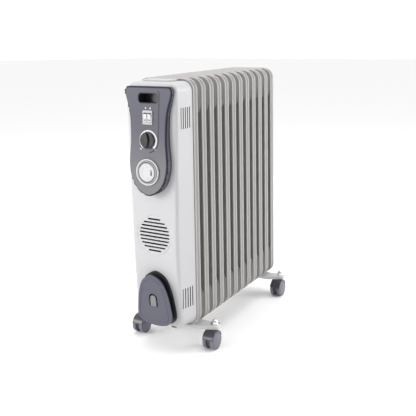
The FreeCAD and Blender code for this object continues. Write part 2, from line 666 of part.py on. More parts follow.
def make_rocker(label, side):
    """A rocker, leaning to its off side; its face is a shallow V about the pivot."""
    body = new_body(label)
    profile = sketch(body, "YZ_Plane", z="-rocker_width / 2")
    slope = "(rocker_tall / 2) * tan(rocker_tilt)"
    face = f"-(rocker_proud + {ROCKER_PIVOT})"
    outline(profile, [("rocker_depth / 4", "-rocker_tall / 2 + 1"), (f"{face} - {slope}", "0.8 - rocker_tall / 2"),
                      (face, "0"), (f"{face} - {slope}", "rocker_tall / 2 - 0.8"),
                      ("rocker_depth / 4", "rocker_tall / 2 - 1")])
    pad(body, profile, "rocker_width")
    body.Placement.Rotation = Rotation(Vector(1, 0, 0), -mm(LEAN) + mm("rocker_tilt"))
    face_y = f"({CASING_FRONT} - {panel_proud('switch_height')})"
    place(body, x=f"{side} * rocker_spacing / 2", y=f"{face_y} + {ROCKER_PIVOT} * cos({LEAN})",
          z=f"switch_height - {ROCKER_PIVOT} * sin({LEAN})")
    return piece(body, label)


def make_thermostat():
    """The thermostat behind the panel, with the bush that its shaft runs in."""
    body = new_body("thermostat_body")
    can = circle(sketch(body, "XZ_Plane", z="-panel_wall - 1"), "thermostat_radius")
    pad(body, can, "thermostat_depth", Reversed=True)
    pad(body, circle(sketch(body, "XZ_Plane", z="-panel_wall - 2"), "bush_radius"), "panel_wall + 2")
    bore = circle(sketch(body, "XZ_Plane"), "shaft_radius + running_clearance")
    pocket(body, bore, "panel_wall + 1 + thermostat_depth - 3")
    return piece(leaning(body, "knob_height"), "thermostat_body")


def make_knob():
    """The thermostat's knob with its lens-shaped grip and its shaft."""
    body = new_body("thermostat_knob")
    pad(body, circle(sketch(body, "XZ_Plane", z="knob_gap"), "knob_radius"), "knob_disc")
    grip = sketch(body, "XZ_Plane", z="knob_gap + knob_disc - 1")
    half, tall = "knob_grip_width / 2", "(knob_radius - 2)"
    radius = f"(({tall} ^ 2 + ({half}) ^ 2) / (2 * ({half})))"
    r, reach = mm(radius), mm(tall)
    offset = r - mm(half)
    turn = math.asin(reach / r)
    for centre, middle in ((-offset, 0.0), (offset, math.pi)):
        arc = Part.ArcOfCircle(Part.Circle(Vector(centre, 0, 0), Vector(0, 0, 1), r), middle - turn, middle + turn)
        grip.addGeometry(arc, False)
    grip.addConstraint(Sketcher.Constraint("Coincident", 0, 2, 1, 1))
    grip.addConstraint(Sketcher.Constraint("Coincident", 1, 2, 0, 1))
    constrain(grip, "Radius", 0, radius)
    constrain(grip, "Radius", 1, radius)
    for index, text in ((1, f"-({tall})"), (2, tall)):
        constrain(grip, "DistanceX", -1, 1, 0, index, "0")
        constrain(grip, "DistanceY", -1, 1, 0, index, text)
    pad(body, grip, "knob_grip + 1")
    shaft = circle(sketch(body, "XZ_Plane", z="knob_gap + 1"), "shaft_radius")
    pad(body, shaft, "knob_gap + 1 + panel_wall + thermostat_depth - 4", Reversed=True)
    return piece(leaning(body, "knob_height"), "thermostat_knob")


def make_timer():
    """The 24-hour timer: case, outer ring, the dial that turns, and the override lever on its face."""
    case = new_body("timer_body")
    inner = "timer_radius - 2"
    pad(case, circle(sketch(case, "XZ_Plane", z="-panel_wall - 1"), inner), "timer_body_depth", Reversed=True)
    bore = circle(sketch(case, "XZ_Plane", z="-panel_wall - 1"), "shaft_radius + running_clearance")
    pocket(case, bore, "6")
    piece(leaning(case, "timer_height"), "timer_body")

    ring = new_body("timer_bezel")
    band = sketch(ring, "XZ_Plane")
    circle(band, "timer_radius")
    circle(band, "timer_radius - timer_ring")
    pad(ring, band, "timer_ring_proud")
    piece(leaning(ring, "timer_height"), "timer_bezel")

    dial = new_body("timer_dial")
    start = "dial_proud - dial_thickness"
    pad(dial, circle(sketch(dial, "XZ_Plane", z=start), "dial_radius"), "dial_thickness")
    groove = sketch(dial, "XZ_Plane", z="dial_proud")
    circle(groove, "dial_radius - 1")
    circle(groove, "dial_face_radius")
    pocket(dial, groove, "1.5")
    slot = sketch(dial, "XZ_Plane", x="dial_face_radius * 0.62", z="dial_proud")
    rectangle(slot, "lever_width + 0.6", "lever_length + lever_travel + 0.6")
    pocket(dial, slot, "2")
    spindle = circle(sketch(dial, "XZ_Plane", z=start), "shaft_radius")
    pad(dial, spindle, f"{start} + panel_wall + 1 + 5", Reversed=True)
    piece(leaning(dial, "timer_height"), "timer_dial")

    lever = new_body("timer_lever")
    tongue = sketch(lever, "XZ_Plane", x="dial_face_radius * 0.62", y="-lever_travel / 2", z="dial_proud - 0.3")
    pad(lever, rectangle(tongue, "lever_width", "lever_length"), "1.6", Reversed=True)
    piece(leaning(lever, "timer_height"), "timer_lever")


# ---------------------------------------------------------------- fan
FAN_START = f"({CASING_FRONT} + casing_wall + ptc_gap + ptc_thickness + fan_gap)"


def make_fan():
    """The grille in the casing, the ceramic heater behind it, the fan wheel and its motor."""
    disc = cylinder("grille_disc", "grille_radius - plate_clearance / 2", "casing_wall",
                    ("0", CASING_FRONT, "fan_height"), "y")
    slots = []
    for number in range(int(mm("grille_slots"))):
        offset = f"(({number} - (grille_slots - 1) / 2) * grille_pitch)"
        half = f"sqrt((grille_radius - grille_margin) ^ 2 - {offset} ^ 2)"
        slots.append(box(f"grille_slot_{number}", (f"2 * {half}", "casing_wall * 3", "grille_slot"),
                         (f"-{half}", f"{CASING_FRONT} - casing_wall", f"fan_height + {offset} - grille_slot / 2")))
    piece(cut("fan_grille", disc, slots), "fan_grille")

    ptc_y = f"{CASING_FRONT} + casing_wall + ptc_gap"
    block = box("ptc_block", ("ptc_width", "ptc_thickness", "ptc_height"),
                ("-ptc_width / 2", ptc_y, "fan_height - ptc_height / 2"))
    openings = []
    for number in range(4):
        tall = "(ptc_height - 10) / 4 - 3"
        low = f"fan_height - ptc_height / 2 + 6.5 + {number} * (ptc_height - 10) / 4"
        openings.append(box(f"ptc_opening_{number}", ("ptc_width - 12", "ptc_thickness * 3", tall),
                            ("6 - ptc_width / 2", f"{ptc_y} - ptc_thickness", low)))
    piece(cut("ptc_heater", block, openings), "ptc_heater")

    hub = cylinder("impeller_boss", "impeller_hub", "impeller_depth", ("0", FAN_START, "fan_height"), "y")
    shaft = cylinder("impeller_shaft", "shaft_radius / 2", "impeller_depth + 16", ("0", FAN_START, "fan_height"), "y")
    blades = []
    count = 7
    for number in range(count):
        blade = doc.addObject("Part::Box", f"blade_{number}")
        bind(blade, "Length", "blade_thickness")
        bind(blade, "Width", "impeller_depth / cos(blade_pitch) * 0.8")
        bind(blade, "Height", "impeller_radius - impeller_hub + 4")
        around = Rotation(Vector(0, 1, 0), 360 * number / count)
        turn = around.multiply(Rotation(Vector(0, 0, 1), mm("blade_pitch")))
        low = Vector(-mm("blade_thickness") / 2, -mm("impeller_depth / cos(blade_pitch)") * 0.4,
                     mm("impeller_hub") - 4)
        centre = Vector(0, mm(f"{FAN_START} + impeller_depth / 2"), mm("fan_height"))
        blade.Placement = FreeCAD.Placement(centre + turn.multVec(low), turn)
        blades.append(blade)
    piece(fuse("fan_impeller", [hub, shaft] + blades), "fan_impeller")

    motor_y = f"({FAN_START} + impeller_depth + fan_gap)"
    can = cylinder("motor_can", "motor_radius", f"{CASING_REAR} - back_plate - 1 - {motor_y}",
                   ("0", motor_y, "fan_height"), "y")
    bore = cylinder("motor_bore", "shaft_radius / 2 + running_clearance", "14.5", ("0", motor_y, "fan_height"), "y")
    piece(cut("fan_motor", can, [bore]), "fan_motor")


# ---------------------------------------------------------------- cord winder and gland
# The right half of the winder's plate, from the top down: shares of the half width and of the height.
LEAF = [(0.0, 1.0), (0.29, 0.965), (0.57, 0.877), (0.70, 0.78), (0.86, 0.58), (0.96, 0.34), (0.985, 0.21),
        (0.92, 0.12), (0.74, 0.055), (0.40, 0.012), (0.0, 0.0)]


def winder_slab(margin, start, depth):
    """A slab of the winder's outline, about its own middle, from start towards +Y."""
    half = mm("winder_width") / 2 + margin
    tall = mm("winder_tall") + 2 * margin
    points = [(half * across, tall * (up - 0.5)) for across, up in LEAF]
    slab = smooth_outline(points, False).extrude(Vector(0, depth, 0))
    slab.translate(Vector(0, start, 0))
    return slab


def winder_place(shape):
    """Leans a piece of the winder, built about the plate's face, and moves it to the casing."""
    shape.rotate(Vector(0, 0, 0), Vector(1, 0, 0), mm("winder_lean"))
    shape.translate(Vector(0, mm(f"{CASING_FRONT} - winder_proud"), mm("winder_height")))
    return shape


def make_winder(outer):
    """The cord winder: flange and core on the casing, the plate in front, and the plate's cord clip."""
    thick, slot, gap = mm("winder_plate"), mm("clip_slot"), mm("winder_gap")
    clip_wide, clip_tall = mm("clip_width"), mm("clip_tall")

    def arch(wide, back, front, top):
        """A block with a half-round top, standing on the tongue's root."""
        shape = Part.makeBox(wide, back - front, top - wide / 2 + clip_tall / 2,
                             Vector(-wide / 2, front, -clip_tall / 2))
        return shape.fuse(Part.makeCylinder(wide / 2, back - front, Vector(0, front, top - wide / 2),
                                            Vector(0, 1, 0))).removeSplitter()

    window = arch(clip_wide + 2 * slot, 2 * thick, -thick, clip_tall / 2 + slot)
    plate = winder_slab(0, 0, thick).cut(window)
    piece(solid_feature("winder_plate", winder_place(plate)), "winder_plate")

    tongue = arch(clip_wide, thick - 1, -1, clip_tall / 2)
    piece(solid_feature("cord_clip", winder_place(tongue)), "cord_clip")

    flange = winder_slab(mm("flange_margin"), thick + gap, 2 * mm("foot_recess"))
    core = Part.makeCylinder(mm("winder_hub"), gap, Vector(0, thick, -mm("winder_hub")), Vector(0, 1, 0))
    shape = winder_place(flange.fuse(core)).cut(outer.Shape)
    largest_in_front = max((s for s in shape.Solids if s.BoundBox.YMin < mm(CASING_FRONT) - 1),
                           key=lambda s: s.Volume)
    piece(solid_feature("winder_flange", largest_in_front), "winder_flange")


def make_gland():
    """The gland in the casing's floor where the mains cord comes out."""
    y = f"{CASING_REAR} - casing_depth * 0.4"
    neck = cylinder("gland_neck", "gland_radius - 2", "casing_wall + gland_drop + 2",
                    ("gland_offset", y, "casing_foot - gland_drop"))
    collar = cylinder("gland_collar", "gland_radius", "gland_drop", ("gland_offset", y, "casing_foot - gland_drop"))
    flange = cylinder("gland_flange", "gland_radius", "2", ("gland_offset", y, "casing_foot + casing_wall"))
    bore = cylinder("gland_bore", "gland_bore", "gland_drop * 3", ("gland_offset", y, "casing_foot - gland_drop * 1.5"))
    piece(cut("cord_gland", fuse("gland_solid", [neck, collar, flange]), [bore]), "cord_gland")


def make_tip_switch():
    """The tip-over switch on the casing's floor, and the pendulum that hangs in it."""
    low_z = "casing_foot + casing_wall"
    x, y = "-tip_offset", f"{CASING_REAR} - casing_depth * 0.5"
    case = box("tip_case", ("tip_box", "tip_box / 2", "tip_box"),
               (f"{x} - tip_box / 2", f"{y} - tip_box / 4", low_z))
    room = box("tip_room", ("tip_box - 4", "tip_box / 2 - 4", "tip_box - 4"),
               (f"{x} - tip_box / 2 + 2", f"{y} - tip_box / 4 + 2", f"{low_z} + 2"))
    pivot_z = f"{low_z} + tip_box - 5"
    bearing = cylinder("tip_bearing", "1.5 + running_clearance", "tip_box / 2 - 1.8",
                       (x, f"{y} - tip_box / 4 + 0.9", pivot_z), "y")
    piece(cut("tip_switch", case, [room, bearing]), "tip_switch")
    pin = cylinder("tip_pin", "1.5", "tip_box / 2 - 2", (x, f"{y} - tip_box / 4 + 1", pivot_z), "y")
    rod = box("tip_rod", ("2", "2", "tip_box - 18"), (f"{x} - 1", f"{y} - 1", f"{pivot_z} - (tip_box - 18)"))
    bob = cylinder("tip_bob", "3.5", "6", (x, f"{y} - 3", f"{pivot_z} - (tip_box - 17)"), "y")
    piece(fuse("tip_pendulum", [pin, rod, bob]), "tip_pendulum")


# ---------------------------------------------------------------- brackets and castors
def make_bracket(label, y, sweep):
    """A channel of folded sheet across the heater, its arms swept back, with a castor at each end."""
    body = new_body(label)
    half, tip = "bracket_width / 2", "bracket_tip / 2"
    reach, shoulder = "overall_width / 2", "fin_width / 2"

    def channel(inset, bevel=None):
        end, wide = f"{reach} - {inset}", f"({tip} - {inset})"
        tip_corners = [(end, f"{sweep} + {wide}"), (end, f"{sweep} - {wide}")]
        if bevel:
            tip_corners = [(f"{end} - {bevel}", f"{sweep} + {wide}"), (end, f"{sweep} + {wide} - {bevel}"),
                           (end, f"{sweep} - {wide} + {bevel}"), (f"{end} - {bevel}", f"{sweep} - {wide}")]
        right = [(shoulder, f"{half} - {inset}")] + tip_corners + [(shoulder, f"{inset} - {half}")]
        return right + [(f"-({across})", along) for across, along in reversed(right)]

    def at_tip(edge):
        bounds = edge.BoundBox
        return bounds.ZLength > 1 and abs(bounds.Center.x) > mm(reach) - 0.1

    plate = pad(body, outline(sketch(body, "XY_Plane"), channel("0")), "bracket_depth", Reversed=True)
    body.Tip = round_edges(body, plate, "bracket_nose", at_tip)
    inside = sketch(body, "XY_Plane", z="-bracket_depth")
    outline(inside, channel("bracket_sheet", "bracket_nose / 2"))
    pocket(body, inside, "bracket_depth - bracket_sheet", Reversed=True)
    holes = sketch(body, "XY_Plane")
    for side in (-1, 1):
        circle(holes, "stem_radius + plate_clearance", f"{side} * {STEM_SPACING} / 2", sweep)
        circle(holes, "bolt_radius + plate_clearance", f"{side} * (hub_radius + bolt_radius + 0.5)")
    pocket(body, holes, "bracket_depth * 2")
    place(body, y=y, z="fin_foot")
    return piece(body, label)


def make_clamps():
    """A U-bolt over the bottom header at each bracket, drawn up by wing nuts."""
    bolts, nuts = [], []
    low_z = "fin_foot - bracket_sheet - 14"
    for name, y in (("front", FRONT_BRACKET), ("rear", REAR_BRACKET)):
        arch = doc.addObject("Part::Torus", f"{name}_arch")
        bind(arch, "Radius1", "hub_radius + bolt_radius + 0.5")
        bind(arch, "Radius2", "bolt_radius")
        bind(arch, "Angle3", "180")
        arch.Placement.Rotation = Rotation(Vector(1, 0, 0), 90)
        place(arch, y=y, z=LOW_HEADER)
        legs = []
        for side in (-1, 1):
            x = f"{side} * (hub_radius + bolt_radius + 0.5)"
            legs.append(cylinder(f"{name}_leg_{side}", "bolt_radius", f"{LOW_HEADER} - ({low_z})", (x, y, low_z)))
            boss = cylinder(f"{name}_boss_{side}", "bolt_radius * 2", "6", (x, y, "fin_foot - bracket_sheet - 6"))
            wing = box(f"{name}_wing_{side}", ("2", "24", "8"),
                       (f"{x} - 1", f"{y} - 12", "fin_foot - bracket_sheet - 10"))
            hole = cylinder(f"{name}_thread_{side}", "bolt_radius + running_clearance", "20", (x, y, low_z))
            nuts.append(cut(f"{name}_nut_{side}", fuse(f"{name}_nut_solid_{side}", [boss, wing]), [hole]))
        bolts.append(fuse(f"{name}_u_bolt", [arch] + legs))
    piece(group("u_bolts", bolts), "u_bolts")
    piece(group("wing_nuts", nuts), "wing_nuts")


FRONT_STEMS = f"({FRONT_BRACKET} + front_sweep)"
REAR_STEMS = f"({REAR_BRACKET} + rear_sweep)"
CORNERS = {
    "front_left": (-1, FRONT_STEMS), "front_right": (1, FRONT_STEMS),
    "rear_left": (-1, REAR_STEMS), "rear_right": (1, REAR_STEMS),
}


def make_castor(name, side, stem_y):
    """A twin-wheel castor: hood on its stem, axle, and a wheel on each side."""
    x = f"{side} * {STEM_SPACING} / 2"
    axle_y = f"{stem_y} - castor_trail"
    outer = "wheel_radius + hood_clearance + hood_thickness"
    full = f"hood_web + 2 * wheel_width"
    shell = cylinder(f"{name}_shell", outer, full, (f"{x} - ({full}) / 2", axle_y, "wheel_radius"), "x")
    tools = [box(f"{name}_below", (f"({full}) * 2", "wheel_radius * 4", "wheel_radius * 2"),
                 (f"{x} - ({full})", f"{axle_y} - wheel_radius * 2", "wheel_radius - wheel_radius * 1.7"))]
    for hand in (-1, 1):
        start = f"{x} + hood_web / 2" if hand > 0 else f"{x} - hood_web / 2 - wheel_width * 1.5"
        tools.append(cylinder(f"{name}_room_{hand}", "wheel_radius + hood_clearance", "wheel_width * 1.5",
                              (start, axle_y, "wheel_radius"), "x"))
    cover = cut(f"{name}_cover", shell, tools)
    web = cylinder(f"{name}_web", "wheel_radius - 4", "hood_web", (f"{x} - hood_web / 2", axle_y, "wheel_radius"), "x")
    boss = box(f"{name}_boss", ("hood_web", "stem_radius * 2 + 8", "wheel_radius * 1.5"),
               (f"{x} - hood_web / 2", f"{stem_y} - stem_radius - 4", "wheel_radius * 0.55"))
    collar = cylinder(f"{name}_collar", "stem_radius + 3", "4", (x, stem_y, "fin_foot - bracket_depth - 5"))
    stem_hole = cylinder(f"{name}_stem_hole", "stem_radius + running_clearance", "80", (x, stem_y, "wheel_radius * 0.8"))
    axle_hole = cylinder(f"{name}_axle_hole", "axle_radius", "hood_web * 2", (f"{x} - hood_web", axle_y, "wheel_radius"), "x")
    solid = fuse(f"{name}_solid", [cover, web, boss, collar])
    piece(cut(f"castor_hood_{name}", solid, [stem_hole, axle_hole]), f"castor_hood_{name}")

    length = "wheel_gap + 2 * wheel_width - 4"
    axle = cylinder(f"castor_axle_{name}", "axle_radius", length, (f"{x} - ({length}) / 2", axle_y, "wheel_radius"), "x")
    piece(axle, f"castor_axle_{name}")

    for hand, word in ((-1, "left"), (1, "right")):
        label = f"wheel_{name}_{word}"
        body = new_body(label)
        tread = circle(sketch(body, "YZ_Plane", z="wheel_gap / 2"), "wheel_radius")
        solid = pad(body, tread, "wheel_width")
        edge = mm("wheel_gap / 2 + wheel_width")
        rim = round_edges(body, solid, "1.5", lambda e: e.BoundBox.XLength < 0.01 and abs(e.BoundBox.XMin - edge) < 0.01)
        body.Tip = rim
        bore = circle(sketch(body, "YZ_Plane", z="wheel_gap / 2"), "axle_radius + running_clearance")
        pocket(body, bore, "wheel_width - 1.5", Reversed=True)
        if hand < 0:
            body.Placement.Rotation = Rotation(Vector(0, 0, 1), 180)
        place(body, x, axle_y, "wheel_radius")
        piece(body, label)


def make_stems():
    """The four stems, and the cap nut and washer that hold each in its bracket."""
    stems, nuts = [], []
    for name, (side, y) in CORNERS.items():
        x = f"{side} * {STEM_SPACING} / 2"
        low = "wheel_radius * 0.8 + 1"
        pin = cylinder(f"{name}_stem", "stem_radius", f"fin_foot + 7 - ({low})", (x, y, low))
        collar = cylinder(f"{name}_stem_collar", "stem_radius + 1.5", "bracket_depth - bracket_sheet",
                          (x, y, "fin_foot - bracket_depth"))
        stems.append(fuse(f"{name}_stem_solid", [pin, collar]))
        washer = cylinder(f"{name}_washer", "washer_radius", "washer_thickness", (x, y, "fin_foot"))
        nut = cylinder(f"{name}_nut_base", "nut_radius", "4", (x, y, "fin_foot + washer_thickness"))
        dome = doc.addObject("Part::Sphere", f"{name}_dome")
        bind(dome, "Radius", "nut_radius - 1")
        bind(dome, "Angle1", "0")
        place(dome, x, y, "fin_foot + washer_thickness + 3.5")
        hole = cylinder(f"{name}_nut_hole", "stem_radius + running_clearance", "7.2", (x, y, "fin_foot"))
        nuts.append(cut(f"{name}_cap_nut", fuse(f"{name}_cap_solid", [washer, nut, dome]), [hole]))
    piece(group("castor_stems", stems), "castor_stems")
    piece(group("cap_nuts", nuts), "cap_nuts")


# ---------------------------------------------------------------- build
for fin_number in range(1, int(mm("fin_count")) + 1):
    make_fin(fin_number)
make_filler_plug()
make_heating_element()
casing_outer = casing_block("casing_outside", "0")
make_casing(casing_outer)
make_back_plate()
make_top_plate()
make_control_panel()
make_handle_pocket()
make_switch_housing()
make_rocker("rocker_left", -1)
make_rocker("rocker_right", 1)
make_thermostat()
make_knob()
make_timer()
make_fan()
doc.recompute()
make_winder(casing_outer)
make_gland()
make_tip_switch()
make_bracket("bracket_front", FRONT_BRACKET, "front_sweep")
make_bracket("bracket_rear", REAR_BRACKET, "rear_sweep")
make_clamps()
for corner, (side, stem_y) in CORNERS.items():
    make_castor(corner, side, stem_y)
make_stems()
doc.recompute()

faults = [item.Label for item in doc.Objects if {"Invalid", "Error"} & set(item.State)]
faults += [item.Label for item in pieces if item.Shape.isNull() or not item.Shape.isValid()]
if faults:
    raise SystemExit(f"failed: {faults}")

os.makedirs("parts", exist_ok=True)
for item in pieces:
    item.Shape.exportStep(f"parts/{item.Label}.step")
print(f"{len(pieces)} nodes written")
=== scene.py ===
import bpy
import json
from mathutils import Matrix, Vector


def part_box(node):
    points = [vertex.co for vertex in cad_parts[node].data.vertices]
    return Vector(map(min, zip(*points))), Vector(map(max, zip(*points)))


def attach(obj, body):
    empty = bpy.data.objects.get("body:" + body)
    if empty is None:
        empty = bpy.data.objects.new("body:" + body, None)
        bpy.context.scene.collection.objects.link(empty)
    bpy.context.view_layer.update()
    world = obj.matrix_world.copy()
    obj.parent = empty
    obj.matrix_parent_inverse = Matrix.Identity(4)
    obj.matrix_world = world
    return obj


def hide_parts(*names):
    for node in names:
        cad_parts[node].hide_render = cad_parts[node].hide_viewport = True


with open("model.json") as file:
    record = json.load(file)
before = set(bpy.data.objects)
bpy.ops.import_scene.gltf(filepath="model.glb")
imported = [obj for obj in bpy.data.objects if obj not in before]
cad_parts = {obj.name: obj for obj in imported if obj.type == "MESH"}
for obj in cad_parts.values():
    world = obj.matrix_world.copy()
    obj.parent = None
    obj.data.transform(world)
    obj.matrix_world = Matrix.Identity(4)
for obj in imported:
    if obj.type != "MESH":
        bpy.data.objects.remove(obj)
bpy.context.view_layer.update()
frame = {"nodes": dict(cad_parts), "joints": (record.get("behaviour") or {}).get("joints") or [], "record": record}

# %% [markdown]
# This file builds the looks of an oil filled radiator heater: twelve steel fins on four castors, and a
# plastic casing with the controls in front. The CAD model gives every piece its size and place. Some CAD
# pieces only need smooth edges and a good material; the fins, wheels, scales and dial marks are modelled here.

# %% Names used all through
import json
import math

import bpy
from mathutils import Matrix, Vector

bodies = frame["record"]["behaviour"]["bodies"]
body_of_node = {node: body for body, nodes in bodies.items() for node in nodes}
slot_of_node = {part["node"]: part["material_slot"] for part in frame["record"]["subparts"]}
MM = 0.001


def middle(node):
    """The middle of a CAD node's box."""
    low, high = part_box(node)
    return (Vector(low) + Vector(high)) / 2


# %% [markdown]
# The camera stands in front and to the right of the controls, a little above the fins' tops. It is turned to
# the left, tipped down by about eight degrees and rolled by one. The lens is given as its focal length in
# widths of the frame. Two shifts slide the frame sideways and down without turning the camera, so the
# perspective stays the same.

# %% Camera
SENSOR_WIDTH, LENS_IN_WIDTHS = 36, 1.6746
CAMERA_SHIFT = (0.02506, -0.18505)
CAMERA_PLACE = Vector((0.91615, -1.57639, 0.78246))
CAMERA_AZIMUTH, CAMERA_HEIGHT_ANGLE, CAMERA_ROLL = (math.radians(a) for a in (30.677, 8.283, -1.098))

bpy.ops.object.camera_add(location=CAMERA_PLACE)
camera = bpy.context.object
camera.name = "studio_camera"
camera.rotation_euler = (Matrix.Rotation(CAMERA_AZIMUTH, 3, "Z")
                         @ Matrix.Rotation(math.pi / 2 - CAMERA_HEIGHT_ANGLE, 3, "X")
                         @ Matrix.Rotation(CAMERA_ROLL, 3, "Z")).to_euler()
camera.data.sensor_width = SENSOR_WIDTH
camera.data.lens = SENSOR_WIDTH * LENS_IN_WIDTHS
camera.data.shift_x, camera.data.shift_y = CAMERA_SHIFT
camera.data.clip_end = 20
bpy.context.scene.camera = camera
print("lens", round(camera.data.lens, 1), "mm on a sensor of", SENSOR_WIDTH, "mm")

# %% [markdown]
# Operators act on everything that is selected, so each step starts with nothing selected, and picks its
# faces or edges in code, by where they lie or which way they point.

# %% Selection helpers
CLEAR_ANGLE = 0.6  # the cosine of the angle between two faces, below which their edge counts as sharp


def select_only(*objects):
    """Object mode, with these pieces selected and the last of them active."""
    if bpy.context.mode != "OBJECT":
        bpy.ops.object.mode_set(mode="OBJECT")
    bpy.ops.object.select_all(action="DESELECT")
    for item in objects:
        item.select_set(True)
    bpy.context.view_layer.objects.active = objects[-1]


def pick(obj, kind, wanted):
    """Leaves obj in edit mode with only the wanted "FACE", "EDGE" or "VERT" elements selected."""
    select_only(obj)
    bpy.ops.object.mode_set(mode="EDIT")
    bpy.ops.mesh.select_mode(type=kind)
    bpy.ops.mesh.select_all(action="DESELECT")
    bpy.ops.object.mode_set(mode="OBJECT")
    mesh = obj.data
    for item in {"FACE": mesh.polygons, "EDGE": mesh.edges, "VERT": mesh.vertices}[kind]:
        item.select = bool(wanted(item))
    bpy.ops.object.mode_set(mode="EDIT")


def ends(obj, edge):
    """An edge's two points."""
    return [obj.data.vertices[v].co for v in edge.vertices]


def along(obj, axis):
    """A test for straight edges that run along an axis."""
    def test(edge):
        a, b = ends(obj, edge)
        return abs((b - a)[axis]) > 0.95 * (b - a).length
    return test


def facing(axis, sign):
    """A test for faces that look along an axis, forwards or backwards."""
    return lambda face: face.normal[axis] * sign > 0.95


def sharp_edges(obj):
    """The vertex pairs of edges whose two faces meet at a clear angle."""
    normals = {}
    for face in obj.data.polygons:
        for key in face.edge_keys:
            normals.setdefault(key, []).append(face.normal.copy())
    return {key for key, pair in normals.items() if len(pair) == 2 and pair[0].dot(pair[1]) < CLEAR_ANGLE}


def object_mode():
    bpy.ops.object.mode_set(mode="OBJECT")


def block(size, place):
    """A box to start a piece from, its size and place already in its mesh."""
    bpy.ops.object.select_all(action="DESELECT")
    bpy.ops.mesh.primitive_cube_add(size=1, location=place)
    obj = bpy.context.object
    obj.scale = size
    bpy.ops.object.transform_apply(location=True, rotation=True, scale=True)
    return obj


def drum(radius, depth, place, axis="Y", sides=64):
    """A cylinder to start a piece from, along X, Y or Z."""
    turn = {"X": (0, math.pi / 2, 0), "Y": (math.pi / 2, 0, 0), "Z": (0, 0, 0)}[axis]
    bpy.ops.object.select_all(action="DESELECT")
    bpy.ops.mesh.primitive_cylinder_add(vertices=sides, radius=radius, depth=depth, location=place, rotation=turn)
    bpy.ops.object.transform_apply(location=True, rotation=True, scale=True)
    return bpy.context.object


def round_corners(obj, axis, radius, segments):
    """Bevels the edges along an axis with the bevel operator."""
    pick(obj, "EDGE", along(obj, axis))
    bpy.ops.mesh.bevel(offset=radius, segments=segments, profile=0.5, affect="EDGES")
    object_mode()


def soften(obj, width, segments=2, angle=35):
    """A small bevel on every sharp edge, applied, then smooth shading up to an angle."""
    select_only(obj)
    if width:
        bevel = obj.modifiers.new("soft_edges", "BEVEL")
        bevel.width = width
        bevel.segments = segments
        bevel.limit_method = "ANGLE"
        bevel.angle_limit = math.radians(angle)
        bpy.ops.object.modifier_apply(modifier=bevel.name)
    bpy.ops.object.shade_smooth_by_angle(angle=math.radians(angle))
    return obj


def joined(*objects):
    """One piece made of several. It keeps the last one's name."""
    select_only(*objects)
    bpy.ops.object.join()
    return bpy.context.object


def lean_about(obj, degrees, centre):
    """Turns a piece about the X axis through a point, top towards the viewer for a positive angle."""
    select_only(obj)
    bpy.context.scene.cursor.location = centre
    bpy.ops.object.origin_set(type="ORIGIN_CURSOR")
    obj.rotation_euler = (math.radians(degrees), 0, 0)
    bpy.ops.object.transform_apply(location=True, rotation=True, scale=True)


# %% [markdown]
# A finish is built from shader nodes. Writing it node by node is long, so a small class wraps a socket and
# lets ordinary sums make the Math nodes. Every finish here varies a little over the surface: paint has the
# fine waves that sprayers call orange peel, and moulded plastic has a spark-eroded grain.

# %% Shader expressions


class Value:
    """A number socket that can be added, subtracted and multiplied in plain Python."""

    def __init__(self, maker, socket):
        self.maker, self.socket = maker, socket

    def _with(self, operation, first, second):
        inputs = [v.socket if isinstance(v, Value) else v for v in (first, second)]
        return self.maker.node("ShaderNodeMath", {"operation": operation}, dict(enumerate(inputs)))

    def __add__(self, other): return self._with("ADD", self, other)
    def __radd__(self, other): return self._with("ADD", other, self)
    def __sub__(self, other): return self._with("SUBTRACT", self, other)
    def __rsub__(self, other): return self._with("SUBTRACT", other, self)
    def __mul__(self, other): return self._with("MULTIPLY", self, other)
    def __rmul__(self, other): return self._with("MULTIPLY", other, self)


class Finish:
    """A material, its shader, and short ways to the nodes that finishes use."""

    def __init__(self, name, **shader_settings):
        self.material = bpy.data.materials.new(name)
        self.material.use_nodes = True
        self.tree = self.material.node_tree
        self.shader = self.tree.nodes["Principled BSDF"]
        for socket, number in shader_settings.items():
            self.shader.inputs[socket.replace("_", " ")].default_value = number
        coordinates = self.tree.nodes.new("ShaderNodeTexCoord")
        self.place = coordinates.outputs["Object"]

    def node(self, kind, settings=None, inputs=None, output=0):
        """A new node with its settings, and its inputs linked to sockets or set to numbers and colours."""
        made = self.tree.nodes.new(kind)
        for key, value in (settings or {}).items():
            setattr(made, key, value)
        for key, value in (inputs or {}).items():
            value = value.socket if isinstance(value, Value) else value
            if isinstance(value, bpy.types.NodeSocket):
                self.tree.links.new(value, made.inputs[key])
            else:
                made.inputs[key].default_value = (*value, 1) if isinstance(value, tuple) else value
        return Value(self, made.outputs[output])

    def noise(self, scale, detail=3.0):
        return self.node("ShaderNodeTexNoise", None,
                         {"Vector": self.place, "Scale": scale, "Detail": detail, "Roughness": 0.5})

    def axis(self, name):
        """The X, Y or Z coordinate, in metres."""
        return self.node("ShaderNodeSeparateXYZ", None, {0: self.place}, output=name)

    def normal(self, name):
        """The X, Y or Z part of the direction that the surface faces."""
        direction = self.node("ShaderNodeNewGeometry", output="Normal")
        return self.node("ShaderNodeSeparateXYZ", None, {0: direction}, output=name)

    def between(self, value, low, high):
        """0 below low, 1 above high, smooth between."""
        return self.node("ShaderNodeMapRange", {"interpolation_type": "SMOOTHSTEP"},
                         {"Value": value, "From Min": low, "From Max": high})

    def mix(self, share, first, second):
        """A colour between two colours."""
        return self.node("ShaderNodeMix", {"data_type": "RGBA"}, {0: share, 6: first, 7: second}, output=2)

    def feed(self, **sockets):
        """Links values to the shader's sockets. A name's underscores stand for spaces."""
        for socket, value in sockets.items():
            self.tree.links.new(value.socket, self.shader.inputs[socket.replace("_", " ")])
        return self

    def relief(self, height, strength):
        """A fine grain, 0.2 mm deep where the strength is 1."""
        bump = self.node("ShaderNodeBump", None, {"Height": height, "Strength": strength, "Distance": 0.2 * MM})
        return self.feed(Normal=bump)


